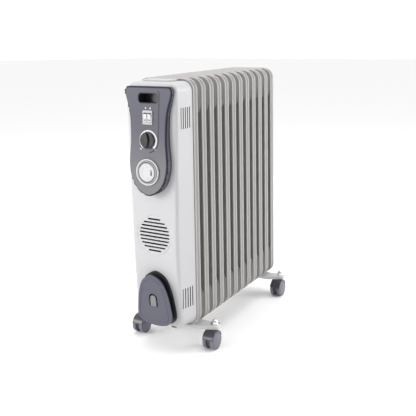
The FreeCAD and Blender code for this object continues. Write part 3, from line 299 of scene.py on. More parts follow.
def plain_finish(name, colour, darker, roughness, spread, grain, grain_depth, **settings):
    """A finish with mottled colour, uneven roughness and a fine grain."""
    finish = Finish(name, **settings)
    mottle = finish.noise(9.0, 4.0)
    finish.feed(Base_Color=finish.mix(mottle, darker, colour),
                Roughness=finish.noise(40.0) * spread + (roughness - spread / 2))
    return finish.relief(finish.noise(grain, 2.0), grain_depth)


# %% [markdown]
# The brackets' paint is a light grey with orange peel, and the casing is a cooler white plastic. The rest is
# moulded plastic in greys and blacks, bare metal, and print. Each line gives a finish its colour, the darker
# colour that it is mottled with, its roughness and how much that varies, and how fine and deep its grain is.

# %% Finishes
finishes = {
    "bracket_paint": plain_finish("light_grey_paint", (0.62, 0.61, 0.61), (0.56, 0.55, 0.55), 0.36, 0.1, 900, 0.12),
    "casing": plain_finish("white_plastic", (0.490, 0.485, 0.495), (0.470, 0.465, 0.475), 0.42, 0.08, 2600, 0.08),
    "recess": plain_finish("black_plastic", (0.030, 0.030, 0.040), (0.022, 0.022, 0.030), 0.35, 0.1, 2400, 0.08),
    "rocker": plain_finish("rocker_white", (0.62, 0.61, 0.62), (0.56, 0.55, 0.56), 0.25, 0.06, 1800, 0.04),
    "knob": plain_finish("knob_black", (0.008, 0.008, 0.011), (0.005, 0.005, 0.007), 0.26, 0.08, 2400, 0.06),
    "timer_ring": plain_finish("ring_white", (0.52, 0.51, 0.52), (0.48, 0.47, 0.48), 0.32, 0.08, 1800, 0.06),
    "dial": plain_finish("dial_white", (0.54, 0.53, 0.535), (0.51, 0.50, 0.505), 0.40, 0.08, 1800, 0.05),
    # Also used as painted shade inside the casing.
    "inner_plastic": plain_finish("inner_plastic", (0.015, 0.015, 0.018), (0.010, 0.010, 0.011), 0.5, 0.1, 1500, 0.1),
    "winder": plain_finish("slate_plastic", (0.108, 0.106, 0.138), (0.094, 0.092, 0.120), 0.45, 0.08, 2400, 0.10,
                            Specular_IOR_Level=0.22),
    "winder_flange": plain_finish("dark_slate", (0.016, 0.016, 0.022), (0.012, 0.012, 0.017), 0.4, 0.1, 2400, 0.1),
    "gland": plain_finish("gland_rubber", (0.02, 0.02, 0.02), (0.014, 0.014, 0.014), 0.7, 0.1, 1200, 0.2),
    "castor_hood": plain_finish("hood_slate", (0.050, 0.049, 0.064), (0.036, 0.035, 0.048), 0.28, 0.08, 2000, 0.06),
    "castor_wheel": plain_finish("wheel_slate", (0.150, 0.147, 0.185), (0.130, 0.127, 0.160), 0.40, 0.1, 1500, 0.12),
    "steel": plain_finish("zinc_steel", (0.55, 0.55, 0.56), (0.42, 0.42, 0.43), 0.36, 0.16, 700, 0.15, Metallic=1.0),
    "cap_nut": plain_finish("bright_nut", (0.86, 0.86, 0.87), (0.74, 0.74, 0.76), 0.14, 0.08, 500, 0.03, Metallic=1.0),
    "pendulum": plain_finish("turned_brass", (0.70, 0.52, 0.24), (0.58, 0.42, 0.18), 0.3, 0.1, 900, 0.1, Metallic=1.0),
    "heater_block": plain_finish("heater_fins", (0.022, 0.021, 0.020), (0.012, 0.011, 0.011), 0.6, 0.1, 500, 0.2),
    # Also used as painted shade for the panel's groove.
    "dark_print_and_groove_shade": plain_finish("dark_print_and_painted_groove_shade", (0.02, 0.02, 0.03), (0.012, 0.012, 0.02), 0.5, 0.1, 1500, 0.02),
    "print_grey": plain_finish("printed_grey", (0.10, 0.13, 0.14), (0.07, 0.09, 0.10), 0.5, 0.1, 1500, 0.02),
    "switch_frame": plain_finish("frame_grey", (0.42, 0.41, 0.42), (0.36, 0.35, 0.36), 0.35, 0.08, 1800, 0.06),
    "clip_grey": plain_finish("clip_grey", (0.20, 0.197, 0.205), (0.17, 0.167, 0.175), 0.4, 0.08, 1800, 0.06),
    "print_white": plain_finish("printed_white", (0.78, 0.78, 0.79), (0.70, 0.70, 0.71), 0.45, 0.1, 1500, 0.02),
}

# %% [markdown]
# The control panel goes from slate at the top to a warmer grey at its foot, so its colour follows the height.
# Its rim, where the surface begins to turn away, is painted almost black as painted shade. Walls that look sideways
# are slate near the face and painted almost black deeper in, as painted shade towards the casing. The direction of the
# surface and its depth pick those colours.

# %% Panel finish
PANEL_WARM_BELOW, PANEL_COOL_ABOVE = 0.42, 0.59
WALL_SLATE_UNTIL, WALL_SHADE_FROM = -0.2475, -0.2455

panel_finish = Finish("panel_slate", Specular_IOR_Level=0.22)
height = panel_finish.axis("Z")
warmth = 1 - panel_finish.between(height, PANEL_WARM_BELOW, PANEL_COOL_ABOVE)
slate = panel_finish.mix(warmth, (0.094, 0.093, 0.121), (0.180, 0.173, 0.180))
frontward = panel_finish.normal("Y") * -1
# Painted shade: the rim is painted near-black, and the side walls are painted darker deeper in towards the casing.
rim_painted_shade = panel_finish.mix(panel_finish.noise(25.0), (0.016, 0.016, 0.026), (0.024, 0.024, 0.036))
wall_painted_shade = panel_finish.mix(panel_finish.between(panel_finish.axis("Y"), WALL_SLATE_UNTIL, WALL_SHADE_FROM),
                             (0.095, 0.093, 0.120), (0.012, 0.012, 0.018))
edge_painted_shade = panel_finish.mix(panel_finish.between(frontward, 0.10, 0.30), wall_painted_shade, rim_painted_shade)
panel_finish.feed(Base_Color=panel_finish.mix(panel_finish.between(frontward, 0.88, 0.97), edge_painted_shade, slate),
                  Roughness=panel_finish.noise(30.0) * 0.08 + 0.38)
panel_finish.relief(panel_finish.noise(2600, 2.0), 0.08)
finishes["panel"] = panel_finish
print("panel finish made")

# %% [markdown]
# The fins' paint is a warm grey. The valley between the two ridges of each rim is painted darker, which is painted
# shade.
# Deep in the gaps the colour is made lighter and warmer, which is painted light, because little light gets there and
# it would look too dark. Both follow from where a point lies within one pitch of the fins, so the paint's
# colour reads the Y coordinate wrapped to one pitch.

# %% Paint on the fins, with painted shade and painted light
VALLEY_SHADE_WITHIN, VALLEY_SHADE_CLEAR_FROM = 0.0016, 0.0056
GAP_FROM, GAP_DEEP_FROM = 0.0098, 0.0118
FIRST_FIN = (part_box("fin_01")[0][1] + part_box("fin_01")[1][1]) / 2
FIN_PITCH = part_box("fin_02")[0][1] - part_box("fin_01")[0][1]
fin_finish = Finish("warm_grey_paint")
along_row = fin_finish.axis("Y") - FIRST_FIN
from_fin = fin_finish.node("ShaderNodeMath", {"operation": "WRAP"},
                           {0: along_row, 1: FIN_PITCH / 2, 2: -FIN_PITCH / 2})
from_fin = fin_finish.node("ShaderNodeMath", {"operation": "ABSOLUTE"}, {0: from_fin})
ridge = fin_finish.mix(fin_finish.noise(9.0, 4.0), (0.37, 0.36, 0.352), (0.41, 0.40, 0.39))
# Painted shade: the valley in the middle of each rim is painted darker.
valley_painted_shade_share = 1 - fin_finish.between(from_fin, VALLEY_SHADE_WITHIN, VALLEY_SHADE_CLEAR_FROM)
valley = fin_finish.mix(valley_painted_shade_share * 0.9, ridge, (0.25, 0.243, 0.237))
# Painted light: deep in the gaps between fins the colour is made lighter and warmer.
gap_painted_light_share = fin_finish.between(from_fin, GAP_FROM, GAP_DEEP_FROM)
fin_finish.feed(Base_Color=fin_finish.mix(gap_painted_light_share, valley, (0.90, 0.84, 0.79)),
                Roughness=fin_finish.noise(40.0) * 0.10 + 0.31)
fin_finish.relief(fin_finish.noise(900, 2.0), 0.10)
finishes["fin_paint"] = fin_finish
print(len(finishes), "finishes")


def paint(obj, finish_name):
    """Gives a piece one finish in place of what it has."""
    obj.data.materials.clear()
    obj.data.materials.append(finishes[finish_name].material)


for node, obj in frame["nodes"].items():
    for material_slot in obj.material_slots:
        material_slot.material = finishes[slot_of_node[node]].material

# %% [markdown]
# A finished piece needs three facts: the body it moves with, the finish it takes, and the CAD pieces that
# it stands for. One function says all three.

# %% Handing a piece in


def hand_in(obj, name, body, slot, finish_name=None, stands_for=()):
    """Names and paints a piece, hangs it under its body's empty, and hides the CAD pieces it stands for. The slot
    names the finish when no finish is given.
    """
    obj.name = name
    obj.data.name = name
    paint(obj, finish_name or slot)
    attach(obj, body)
    if stands_for:
        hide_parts(*stands_for)
    return obj


# %% [markdown]
# Many CAD pieces already have the right shape. Their meshes are loose triangles with knife edges, though,
# and real mouldings and pressings have rounded ones that catch the light. So each is copied, its points are
# merged, its flat triangles are dissolved into whole faces, and a bevel rounds its edges. Weighted normals
# then keep the flat faces flat, because smooth shading would otherwise pull them round at the bevels.

# %% Soft-edged copies of CAD pieces


def soft_copy(node, width, segments=2, angle=35, whole_faces=True):
    """A copy of a CAD piece with its sharp edges rounded. A width of 0 leaves the edges as they are."""
    source = frame["nodes"][node]
    copy = source.copy()
    copy.data = source.data.copy()
    bpy.context.scene.collection.objects.link(copy)
    copy.parent = None
    copy.hide_render = False
    select_only(copy)
    bpy.ops.object.mode_set(mode="EDIT")
    bpy.ops.mesh.select_all(action="SELECT")
    bpy.ops.mesh.remove_doubles(threshold=0.00001)
    if whole_faces:
        bpy.ops.mesh.dissolve_limited(angle_limit=math.radians(1), delimit={"NORMAL"})
    object_mode()
    soften(copy, width, segments, angle)
    weighted = copy.modifiers.new("flat_faces_stay_flat", "WEIGHTED_NORMAL")
    weighted.keep_sharp = True
    weighted.weight = 100
    bpy.ops.object.modifier_apply(modifier=weighted.name)
    return copy


def dress(node, width, finish_name=None, **settings):
    """A soft-edged copy that stands for its CAD piece and moves with it."""
    copy = soft_copy(node, width, **settings)
    return hand_in(copy, f"{node}_skin", body_of_node[node], slot_of_node[node], finish_name, [node])


# %% [markdown]
# The casing is one moulding in CAD, white all through. On the real heater the space behind the vents looks
# black, so the faces that look inwards and the sides of the vents are selected and separated. They make a
# second piece with a near-black finish, which is painted shade: the plastic there is white like the rest.

# %% Casing, and painted shade inside it
casing = soft_copy("control_casing", 0, whole_faces=False)
casing_middle = middle("control_casing")
WALL_INSIDE_FROM, SLOTS_OUT_FROM = 0.03, 0.045
SLOTS_ALONG, SLOTS_UP = (-0.222, -0.1825), (0.09, 0.635)
FRONT_WALL_BACK = -0.225


def looks_inwards(face):
    """Whether a face of the casing looks towards the space inside it, or is the side of a vent."""
    outward = face.center - casing_middle
    sideways = (abs(face.normal.x) > 0.8 and face.normal.x * outward.x < 0
                and abs(outward.x) > WALL_INSIDE_FROM)
    slot_side = (abs(face.normal.x) < 0.3 and abs(outward.x) > SLOTS_OUT_FROM
                 and SLOTS_ALONG[0] < face.center.y < SLOTS_ALONG[1]
                 and SLOTS_UP[0] < face.center.z < SLOTS_UP[1])
    back_of_front = face.normal.y > 0.8 and face.center.y < FRONT_WALL_BACK
    return sideways or slot_side or back_of_front


pick(casing, "FACE", looks_inwards)
bpy.ops.mesh.separate(type="SELECTED")
object_mode()
painted_inside_shade = next(item for item in bpy.context.selected_objects if item is not casing)
hand_in(casing, "control_casing_skin", "heater", "casing", None, ["control_casing"])
# Painted shade: the inside of the casing and the sides of its vents take a near-black finish.
hand_in(painted_inside_shade, "control_casing_painted_inside_shade", "heater", "casing", "inner_plastic")
dress("top_plate", 0.0012)
print("casing", len(casing.data.polygons), "faces, lining", len(painted_inside_shade.data.polygons), "faces")

# %% [markdown]
# The panel's outer edge is much rounder than the edges of its openings. Its sharp edges are listed, those
# round the controls and round the handle are left out, and the bevel operator rounds the others by 5 mm.

# %% Control panel
CONTROL_RINGS = ((0.455, 0.036), (0.530, 0.030), (0.583, 0.030))  # the height of a middle, and a reach round it
HANDLE_HEIGHT, HANDLE_HALF_WIDE, HANDLE_HALF_TALL = 0.628, 0.032, 0.0165
PANEL_RIM_BACK, PANEL_ROUND = -0.2485, 0.0050
panel = soft_copy("control_panel", 0, angle=50)
panel_sharp = sharp_edges(panel)


def outline(edge):
    """Whether an edge of the panel runs round the outside of its face."""
    spot = sum(ends(panel, edge), Vector()) / 2
    round_a_control = any(math.hypot(spot.x, spot.z - z) < reach for z, reach in CONTROL_RINGS)
    round_the_handle = abs(spot.x) < HANDLE_HALF_WIDE and abs(spot.z - HANDLE_HEIGHT) < HANDLE_HALF_TALL
    return (edge.key in panel_sharp and not round_a_control and not round_the_handle
            and spot.y < PANEL_RIM_BACK)


pick(panel, "EDGE", outline)
bpy.ops.mesh.bevel(offset=PANEL_ROUND, segments=4, profile=0.5, affect="EDGES", clamp_overlap=False)
object_mode()
soften(panel, 0.0006, 2, 50)
hand_in(panel, "control_panel_skin", "heater", "panel", None, ["control_panel"])
print("panel", len(panel.data.polygons), "faces")

# %% [markdown]
# The controls and the grille only need rounder edges. Small mouldings have small roundings, about half a
# millimetre, and the knob and the timer's ring, which fingers hold, have larger ones.

# %% Controls and grille
dress("handle_pocket", 0.0005)
dress("switch_housing", 0.0005, "switch_frame")
for side in ("left", "right"):
    dress(f"rocker_{side}", 0.0006)
dress("thermostat_knob", 0.0012, segments=3)
dress("timer_bezel", 0.0012, segments=3)
dress("timer_dial", 0.0005)
dress("timer_lever", 0.0003, "dark_print_and_groove_shade")
dress("fan_grille", 0, whole_faces=False)
print("controls dressed")

# %% [markdown]
# The winder's plate carries a thin groove that follows its outline. Its front is inset three times: the first
# gives the groove its place, the second goes in and down, and the third comes up again. An inset goes round
# the clip's window as well, so the points it moved there are lifted back to the face.

# %% Cord winder
GROOVE_FROM_EDGE, GROOVE_SIDE, GROOVE_DEPTH = 0.0065, 0.0012, 0.0010
WINDOW_HALF_WIDE, WINDOW_LOW, WINDOW_TOP = 0.026, 0.105, 0.180
plate = soft_copy("winder_plate", 0, angle=50)
pick(plate, "FACE", lambda face: face.normal.y < -0.9)
bpy.ops.mesh.inset(thickness=GROOVE_FROM_EDGE)
bpy.ops.mesh.inset(thickness=GROOVE_SIDE, depth=-GROOVE_DEPTH)
bpy.ops.mesh.inset(thickness=GROOVE_SIDE, depth=GROOVE_DEPTH)
object_mode()
plate_face = max((face for face in plate.data.polygons if face.normal.y < -0.99), key=lambda face: face.area)
plate_spot, plate_way = plate_face.center.copy(), plate_face.normal.copy()
pick(plate, "VERT", lambda v: (abs(v.co.x) < WINDOW_HALF_WIDE and WINDOW_LOW < v.co.z < WINDOW_TOP
                               and 0.6 < (plate_spot - v.co).dot(plate_way) / GROOVE_DEPTH < 1.4))
bpy.ops.transform.translate(value=plate_way * GROOVE_DEPTH)
object_mode()
soften(plate, 0.0014, 2, 50)
hand_in(plate, "winder_plate_skin", "heater", "winder", None, ["winder_plate"])
dress("winder_flange", 0.0008, angle=50)
dress("cord_clip", 0.0008, "clip_grey")
dress("cord_gland", 0.0008)
print("winder", len(plate.data.polygons), "faces")

# %% [markdown]
# The two brackets are bent sheet steel with rolled edges. The nuts below the fins and the plug at the back are
# small turned or pressed parts.

# %% Brackets, nuts and plug
for end in ("front", "rear"):
    dress(f"bracket_{end}", 0.0012, segments=3, angle=50)
dress("cap_nuts", 0.0006)
dress("filler_plug", 0.0006)
print("soft-edged copies made")

# %% [markdown]
# A fin is two pressed sheets welded face to face, with a folded rim. From the side the rim shows two rounded
# ridges with a shallow valley between them, where the two sheets meet. One fin is modelled: a block with
# rounded corners is cut into bands along its depth, its middle band is drawn in for the valley, and its front
# and back are inset and pushed in to leave the rim. Two headers, three oil channels and the two hubs that the
# fins are welded together by are added.

# %% One fin
low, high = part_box("fin_01")
fin_width, fin_low, fin_high = high[0] - low[0], low[2], high[2]
last_fin_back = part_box("fin_12")[1][1]
rim_depth = 2 * (last_fin_back - (FIRST_FIN + 11 * FIN_PITCH))
fin_middle = (fin_low + fin_high) / 2
fin_height = fin_high - fin_low
print("fin pitch", round(FIN_PITCH / MM, 2), "mm, rim depth", round(rim_depth / MM, 2), "mm")

FIN_CORNER, RIM_WALL, WEB = 0.029, 0.004, 0.007
BAND_CUTS = (-0.0062, -0.0022, 0.0022, 0.0062)
VALLEY, VALLEY_HALF_DEPTH = 0.0034, 0.003


def model_fin():
    """The pressed sheets with their folded rim, standing at Y = 0."""
    fin = block((fin_width, rim_depth, fin_height), (0, 0, fin_middle))
    round_corners(fin, 1, FIN_CORNER, 10)
    for place in BAND_CUTS:
        select_only(fin)
        bpy.ops.object.mode_set(mode="EDIT")
        bpy.ops.mesh.select_all(action="SELECT")
        bpy.ops.mesh.bisect(plane_co=(0, place, 0), plane_no=(0, 1, 0))
        object_mode()
    pick(fin, "VERT", lambda v: abs(v.co.y) < VALLEY_HALF_DEPTH)
    bpy.ops.transform.resize(value=(1 - 2 * VALLEY / fin_width, 1, 1 - 2 * VALLEY / fin_height),
                             center_override=(0, 0, fin_middle))
    object_mode()
    for sign in (-1, 1):
        pick(fin, "FACE", facing(1, sign))
        bpy.ops.mesh.inset(thickness=RIM_WALL)
        bpy.ops.mesh.extrude_region_move(
            TRANSFORM_OT_translate={"value": (0, -sign * (rim_depth - WEB) / 2, 0)})
        object_mode()
    return fin


def rounded_bar(width, depth, tall, place, radius, segments=6):
    """A block whose four edges along Y are rounded."""
    bar = block((width, depth, tall), place)
    round_corners(bar, 1, radius, segments)
    return bar


HEADER_WIDTH, HEADER_TALL, HEADER_DEPTH, HEADER_ROUND = fin_width - 2 * RIM_WALL, 0.084, 0.0190, 0.022
HEADER_INSET = 0.047
CHANNEL_WIDTH, CHANNEL_DEPTH, CHANNEL_PITCH, CHANNEL_ROUND = 0.024, 0.012, 0.040, 0.011
HUB_RADIUS, HUB_CLEARANCE = 0.022, 0.0002
header_places = (fin_high - HEADER_INSET, fin_low + HEADER_INSET)


def fin_with_channels():
    """One whole fin, standing at Y = 0."""
    parts = [rounded_bar(HEADER_WIDTH, HEADER_DEPTH, HEADER_TALL, (0, 0, z), HEADER_ROUND) for z in header_places]
    tall = header_places[0] - header_places[1]
    for column in (-1, 0, 1):
        place = (column * CHANNEL_PITCH, 0, fin_middle)
        parts.append(rounded_bar(CHANNEL_WIDTH, CHANNEL_DEPTH, tall, place, CHANNEL_ROUND))
    for z in header_places:
        parts.append(drum(HUB_RADIUS, FIN_PITCH - HUB_CLEARANCE, (0, 0, z), "Y", 48))
    for part in parts:
        soften(part, 0.0022, 2)
    fin = soften(model_fin(), 0.0016, 3)
    return joined(*parts, fin)


fin_pattern = fin_with_channels()
print("one fin has", len(fin_pattern.data.polygons), "faces")

# %% [markdown]
# The other fins are copies, each with its own mesh, moved back by the pitch. The last fin has nothing behind
# it, so the back ends of its two hubs are drawn in until they are flush with the headers.

# %% Twelve fins
HUB_END_PAST_RIM, HEADER_FLUSH = 0.002, 0.0075
for number in range(1, 13):
    select_only(fin_pattern)
    bpy.ops.object.duplicate(linked=False)
    fin = bpy.context.object
    if number == 12:
        pick(fin, "VERT", lambda v: v.co.y > rim_depth / 2 + HUB_END_PAST_RIM)
        bpy.ops.transform.resize(value=(1, 0, 1), center_override=(0, HEADER_FLUSH, 0))
        object_mode()
    bpy.ops.object.select_all(action="DESELECT")
    fin.select_set(True)
    bpy.ops.transform.translate(value=(0, FIRST_FIN + (number - 1) * FIN_PITCH, 0))
    bpy.ops.object.transform_apply(location=True, rotation=True, scale=True)
    node = f"fin_{number:02d}"
    hand_in(fin, f"{node}_pressing", "heater", "fin_paint", None, [node])
bpy.data.objects.remove(fin_pattern)
print("fins stand from", round(FIRST_FIN / MM, 1), "to", round((FIRST_FIN + 11 * FIN_PITCH) / MM, 1), "mm")

# %% [markdown]
# A castor has two wheels under one hood. Each wheel is a shallow drum whose outer end shows a smooth,
# lighter disc inside a thin rim. The drum's outer face is inset and pushed in for a groove inside the rim, and
# the disc comes back out of it. A gap of 0.3 mm is left at each end of the drum.

# %% Castor wheels
WHEEL_GAP, WHEEL_RIM, WHEEL_GROOVE_DEPTH = 0.0003, 0.0022, 0.0010
WHEEL_GROOVE_WIDTH, WHEEL_DISC_RISE = 0.0008, 0.0011


def castor_wheel(node):
    """A wheel in the place of a CAD wheel, its disc on the side away from the hood's middle."""
    low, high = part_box(node)
    place = middle(node)
    radius, wide = (high[2] - low[2]) / 2, high[0] - low[0]
    hood = middle("castor_hood_" + "_".join(node.split("_")[1:3]))
    outward = 1 if place.x > hood.x else -1
    wheel = drum(radius, wide - 2 * WHEEL_GAP, place, "X", 72)
    pick(wheel, "FACE", facing(0, outward))
    bpy.ops.mesh.inset(thickness=WHEEL_RIM)
    bpy.ops.mesh.extrude_region_move(TRANSFORM_OT_translate={"value": (-outward * WHEEL_GROOVE_DEPTH, 0, 0)})
    bpy.ops.mesh.inset(thickness=WHEEL_GROOVE_WIDTH)
    bpy.ops.mesh.extrude_region_move(TRANSFORM_OT_translate={"value": (outward * WHEEL_DISC_RISE, 0, 0)})
    object_mode()
    soften(wheel, 0.0007, 2)
    return hand_in(wheel, f"{node}_disc", node, "castor_wheel", None, [node])


for node in sorted(frame["nodes"]):
    if node.startswith("wheel_"):
        castor_wheel(node)
    if node.startswith("castor_hood_"):
        dress(node, 0.0009, angle=40)

# %% [markdown]
# The controls carry print and small marks. They lie on the panel's leaning face, so each is made upright in
# front of it and then turned about the X axis by the panel's lean, about a point on the face.

# %% Where the panel's face is
joint_named = {joint["name"]: joint for joint in frame["joints"]}
knob_place = Vector(joint_named["thermostat_turn"]["pos_m"])
timer_place = Vector(joint_named["timer_turn"]["pos_m"])
into_panel = Vector(joint_named["thermostat_turn"]["axis"])
if into_panel.y < 0:
    into_panel = -into_panel
lean = math.atan2(-into_panel.z, into_panel.y)
print("panel leans", round(math.degrees(lean), 2), "degrees")


def on_face(x, z, proud=0.0):
    """A point on the panel's face, or in front of it."""
    flat = Vector((x, knob_place.y + math.tan(lean) * (z - knob_place.z), z))
    return flat - into_panel * proud


def lay_on_face(obj, z, proud=0.0):
    """Leans a piece that was made upright about a point on the face."""
    lean_about(obj, -math.degrees(lean), on_face(0, z, proud))


def proud_of_face(node, radius, z):
    """How far a round, leaning piece stands in front of the panel's face."""
    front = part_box(node)[0][1] + radius * math.sin(lean)
    return (on_face(0, z).y - front) / math.cos(lean)


BAND_STEPS = 40


def swept_band(inner, outer, thick, start, stop, centre):
    """A thin band round a centre, from a small upright rectangle that the spin operator takes round the Y axis."""
    bpy.ops.object.select_all(action="DESELECT")
    bpy.ops.mesh.primitive_plane_add(size=1, location=(0, 0, 0))
    band = bpy.context.object
    band.scale = (outer - inner, thick, 1)
    bpy.ops.object.transform_apply(location=True, rotation=True, scale=True)
    band.location = ((inner + outer) / 2, 0, 0)
    bpy.ops.object.transform_apply(location=True, rotation=True, scale=True)
    select_only(band)
    bpy.ops.object.mode_set(mode="EDIT")
    bpy.ops.mesh.select_all(action="SELECT")
    bpy.ops.mesh.spin(steps=BAND_STEPS, angle=math.radians(stop - start), center=(0, 0, 0), axis=(0, 1, 0))
    bpy.ops.mesh.select_all(action="SELECT")
    bpy.ops.mesh.remove_doubles(threshold=0.000005)
    bpy.ops.mesh.normals_make_consistent(inside=False)
    object_mode()
    band.rotation_euler = (0, -math.radians(start), 0)
    bpy.ops.object.transform_apply(location=True, rotation=True, scale=True)
    band.location = centre
    bpy.ops.object.transform_apply(location=True, rotation=True, scale=True)
    return band


# %% [markdown]
# The thermostat's printed scale is a white band that is open at the bottom and widest at the lower right. A
# small rectangle is spun round the knob's centre, and the band's outer edge is then pushed sideways.

# %% Thermostat scale and small marks
PRINT = 0.0004
SCALE_INNER, SCALE_OUTER, SCALE_PUSHED_FROM = 0.0205, 0.0245, 0.0232
SCALE_PUSH = (0.0012, 0, -0.0006)
MARK_ROUND = 0.0011
scale = swept_band(SCALE_INNER, SCALE_OUTER, PRINT, -50, 230, on_face(0, knob_place.z))
pick(scale, "VERT", lambda v: (v.co - on_face(0, knob_place.z)).length > SCALE_PUSHED_FROM)
bpy.ops.transform.translate(value=SCALE_PUSH)
object_mode()
lay_on_face(scale, knob_place.z)
hand_in(scale, "thermostat_scale", "heater", "dial", "print_white")

for name, x, z, wide, tall in (("mark_left", -0.0065, 0.6045, 0.0026, 0.0040),
                               ("mark_right", 0.0065, 0.6045, 0.0026, 0.0040),
                               ("scale_end_left", -0.0200, 0.5090, 0.0036, 0.0026),
                               ("scale_end_right", 0.0200, 0.5090, 0.0036, 0.0026)):
    mark = block((wide, PRINT, tall), on_face(x, z))
    round_corners(mark, 1, MARK_ROUND, 3)
    lay_on_face(mark, z)
    hand_in(mark, name, "heater", "dial", "print_white")
print("scale", len(scale.data.polygons), "faces, and four marks")

# %% [markdown]
# A thin groove runs down the right of the handle, the switches and the knob and curls in under the knob, and it looks
# dark because it lies in shade. It is not cut in: it is drawn as a raised near-black line, which is painted shade: a
# straight bar, and a spun curl at each of its ends.

# %% Groove beside the controls
GROOVE_WIDE, TOP_CURL_RADIUS = 0.0030, 0.0060
upper, knee, curl_radius = Vector((0.0315, 0, 0.6390)), Vector((0.0285, 0, 0.5300)), 0.0290
bar = block((GROOVE_WIDE, PRINT, (upper - knee).length), (0, 0, 0))
bar.rotation_euler = (0, math.atan2(upper.x - knee.x, upper.z - knee.z), 0)
bar.location = on_face((upper.x + knee.x) / 2, (upper.z + knee.z) / 2)
bpy.ops.object.transform_apply(location=True, rotation=True, scale=True)
lay_on_face(bar, (upper.z + knee.z) / 2)
curl_centre = on_face(knee.x - curl_radius, knee.z)
curl = swept_band(curl_radius - GROOVE_WIDE / 2, curl_radius + GROOVE_WIDE / 2, PRINT, -80, 0, curl_centre)
lay_on_face(curl, knee.z)
top_curl = swept_band(TOP_CURL_RADIUS - GROOVE_WIDE / 2, TOP_CURL_RADIUS + GROOVE_WIDE / 2, PRINT, 0, 80,
                      on_face(upper.x - TOP_CURL_RADIUS, upper.z))
lay_on_face(top_curl, upper.z)
groove = joined(bar, curl, top_curl)
# Painted shade: the near-black line stands for the shade in the groove.
hand_in(groove, "panel_groove", "heater", "panel", "dark_print_and_groove_shade")
print("groove", len(groove.data.polygons), "faces")

# %% [markdown]
# Each rocker has a dark dot near its foot. The rockers stand tilted in their frame, so a ray is cast at each
# from in front: it gives the point that it hits and the direction that the surface faces there, and a flat
# drum is laid on that point. The dot rides on the rocker's own body, so it tilts with the rocker.

# %% Dots on the rockers
DOT_RADIUS, DOT_THICK, DOT_SHARE_UP = 0.0019, 0.0006, 0.22
bpy.context.view_layer.update()
for side in ("left", "right"):
    node = f"rocker_{side}"
    low, high = (Vector(corner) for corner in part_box(node))
    in_front = Vector(((low.x + high.x) / 2, low.y - 0.1, low.z + DOT_SHARE_UP * (high.z - low.z)))
    _, spot, normal, _ = bpy.data.objects[f"{node}_skin"].ray_cast(in_front, Vector((0, 1, 0)))
    dot = drum(DOT_RADIUS, DOT_THICK, (0, 0, 0), "Y", 24)
    soften(dot, 0.0001, 1)
    dot.rotation_euler = (-math.atan2(-normal.z, -normal.y), 0, 0)
    dot.location = spot
    bpy.ops.object.transform_apply(location=True, rotation=True, scale=True)
    hand_in(dot, f"rocker_dot_{side}", node, "rocker", "dark_print_and_groove_shade")
    print(node, "dot at", [round(value / MM, 1) for value in spot])

# %% [markdown]
# The timer's dial has 48 setting pins, one for each half hour, round its edge, and 24 hour marks and part of a
# circle printed inside them. One pin and one mark are modelled and copied round the timer's axis. All of it
# rides on the dial's body and turns with it.

# %% Timer dial's setting pins and hour marks
DIAL_RADIUS, PIN_CIRCLE, MARK_CIRCLE = 0.0265, 0.0238, 0.0175
PIN_SIZE, PIN_ROUND, PIN_SUNK = (0.0018, 0.0010, 0.0038), 0.0007, 0.0009
HOUR_SIZE, HOUR_ROUND, PRINT_SUNK = (0.0009, PRINT, 0.0022), 0.0003, 0.0002
CIRCLE_INNER, CIRCLE_OUTER = 0.0128, 0.0134
dial_proud = proud_of_face("timer_dial", DIAL_RADIUS, timer_place.z)
print("dial stands", round(dial_proud / MM, 2), "mm in front of the panel")


def ring_of(pattern, count, radius, proud):
    """Copies of a small piece round the timer's axis, joined and leaning with the panel."""
    copies = []
    for number in range(count):
        select_only(pattern)
        bpy.ops.object.duplicate(linked=False)
        copy, turn = bpy.context.object, 2 * math.pi * number / count
        copy.rotation_euler = (0, turn, 0)
        copy.location = (on_face(0, timer_place.z, proud)
                         + Vector((radius * math.sin(turn), 0, radius * math.cos(turn))))
        bpy.ops.object.transform_apply(location=True, rotation=True, scale=True)
        copies.append(copy)
    bpy.data.objects.remove(pattern)
    ring = joined(*copies)
    lay_on_face(ring, timer_place.z, proud)
    return ring


pin = rounded_bar(*PIN_SIZE, (0, 0, 0), PIN_ROUND, 2)
pins = ring_of(pin, 48, PIN_CIRCLE, dial_proud - PIN_SUNK)
hand_in(pins, "timer_setting_pins", "timer_dial", "dial", "print_grey")
hour = rounded_bar(*HOUR_SIZE, (0, 0, 0), HOUR_ROUND, 2)
marks = ring_of(hour, 24, MARK_CIRCLE, dial_proud - PRINT_SUNK)
hand_in(marks, "timer_hour_marks", "timer_dial", "dial", "print_grey")
print_proud = dial_proud - PRINT_SUNK
circle = swept_band(CIRCLE_INNER, CIRCLE_OUTER, PRINT, 60, 300, on_face(0, timer_place.z, print_proud))
lay_on_face(circle, timer_place.z, print_proud)
hand_in(circle, "timer_inner_circle", "timer_dial", "dial", "print_grey")
print("pins", len(pins.data.polygons), "faces, hour marks", len(marks.data.polygons), "faces")

# %% [markdown]
# The studio is a pale floor that runs off into a white surround. The surround is greyer in front and to the
# right, where the camera stands, so that the surfaces that face it keep some depth of colour.

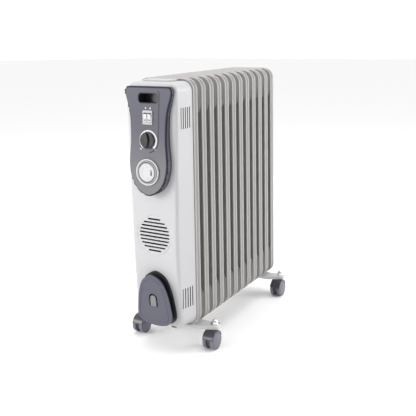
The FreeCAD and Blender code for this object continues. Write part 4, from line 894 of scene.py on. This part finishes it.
# %% Floor and surround
DARK_WAY, DARK_FROM, DARK_TO = (0.66, -0.75, 0.0), 0.50, 0.95
SURROUND_WHITE, SURROUND_GREY, SURROUND_STRENGTH = (1.0, 1.0, 1.0, 1), (0.28, 0.28, 0.29, 1), 1.04
bpy.ops.object.select_all(action="DESELECT")
bpy.ops.mesh.primitive_plane_add(size=30, location=(0, 0, 0))
floor = bpy.context.object
floor.name = "studio_floor"
finishes["floor"] = plain_finish("floor_white", (0.96, 0.96, 0.96), (0.95, 0.95, 0.95), 0.7, 0.05, 60, 0.0)
paint(floor, "floor")

world = bpy.data.worlds.new("studio_surround")
world.use_nodes = True
surround = world.node_tree.nodes
sky_way = surround.new("ShaderNodeTexCoord")
towards_dark = surround.new("ShaderNodeVectorMath")
towards_dark.operation = "DOT_PRODUCT"
towards_dark.inputs[1].default_value = DARK_WAY
dark_share = surround.new("ShaderNodeMapRange")
dark_share.interpolation_type = "SMOOTHSTEP"
dark_share.inputs["From Min"].default_value = DARK_FROM
dark_share.inputs["From Max"].default_value = DARK_TO
sky_colour = surround.new("ShaderNodeMix")
sky_colour.data_type = "RGBA"
sky_colour.inputs[6].default_value = SURROUND_WHITE
sky_colour.inputs[7].default_value = SURROUND_GREY
for output, entry in ((sky_way.outputs["Generated"], towards_dark.inputs[0]),
                      (towards_dark.outputs["Value"], dark_share.inputs["Value"]),
                      (dark_share.outputs["Result"], sky_colour.inputs[0]),
                      (sky_colour.outputs[2], surround["Background"].inputs["Color"])):
    world.node_tree.links.new(output, entry)
surround["Background"].inputs["Strength"].default_value = SURROUND_STRENGTH
bpy.context.scene.world = world
bpy.context.scene.view_settings.view_transform = "Standard"
print("floor and surround made")

# %% [markdown]
# Three broad square lights, each 1.2 m across, light the heater. One behind and to the right brightens the
# casing's side and the fins' rims, one in front and to the left fills the front, and a weaker one hangs above.

# %% Lights
SOFTBOX_SIZE = 1.2


def studio_light(name, place, target, power):
    """A square area light at a place, turned towards a target."""
    bpy.ops.object.light_add(type="AREA", location=place)
    light = bpy.context.object
    light.name = name
    light.data.size = SOFTBOX_SIZE
    light.data.energy = power
    light.rotation_euler = (Vector(target) - Vector(place)).to_track_quat("-Z", "Y").to_euler()


studio_light("right_softbox", (2.1, 1.3, 1.1), (0, 0, 0.35), 34)
studio_light("left_softbox", (-1.5, -2.0, 1.1), (0, -0.2, 0.4), 38)
studio_light("top_softbox", (0.0, 0.2, 2.3), (0, 0, 0.3), 16)
print("three lights made")
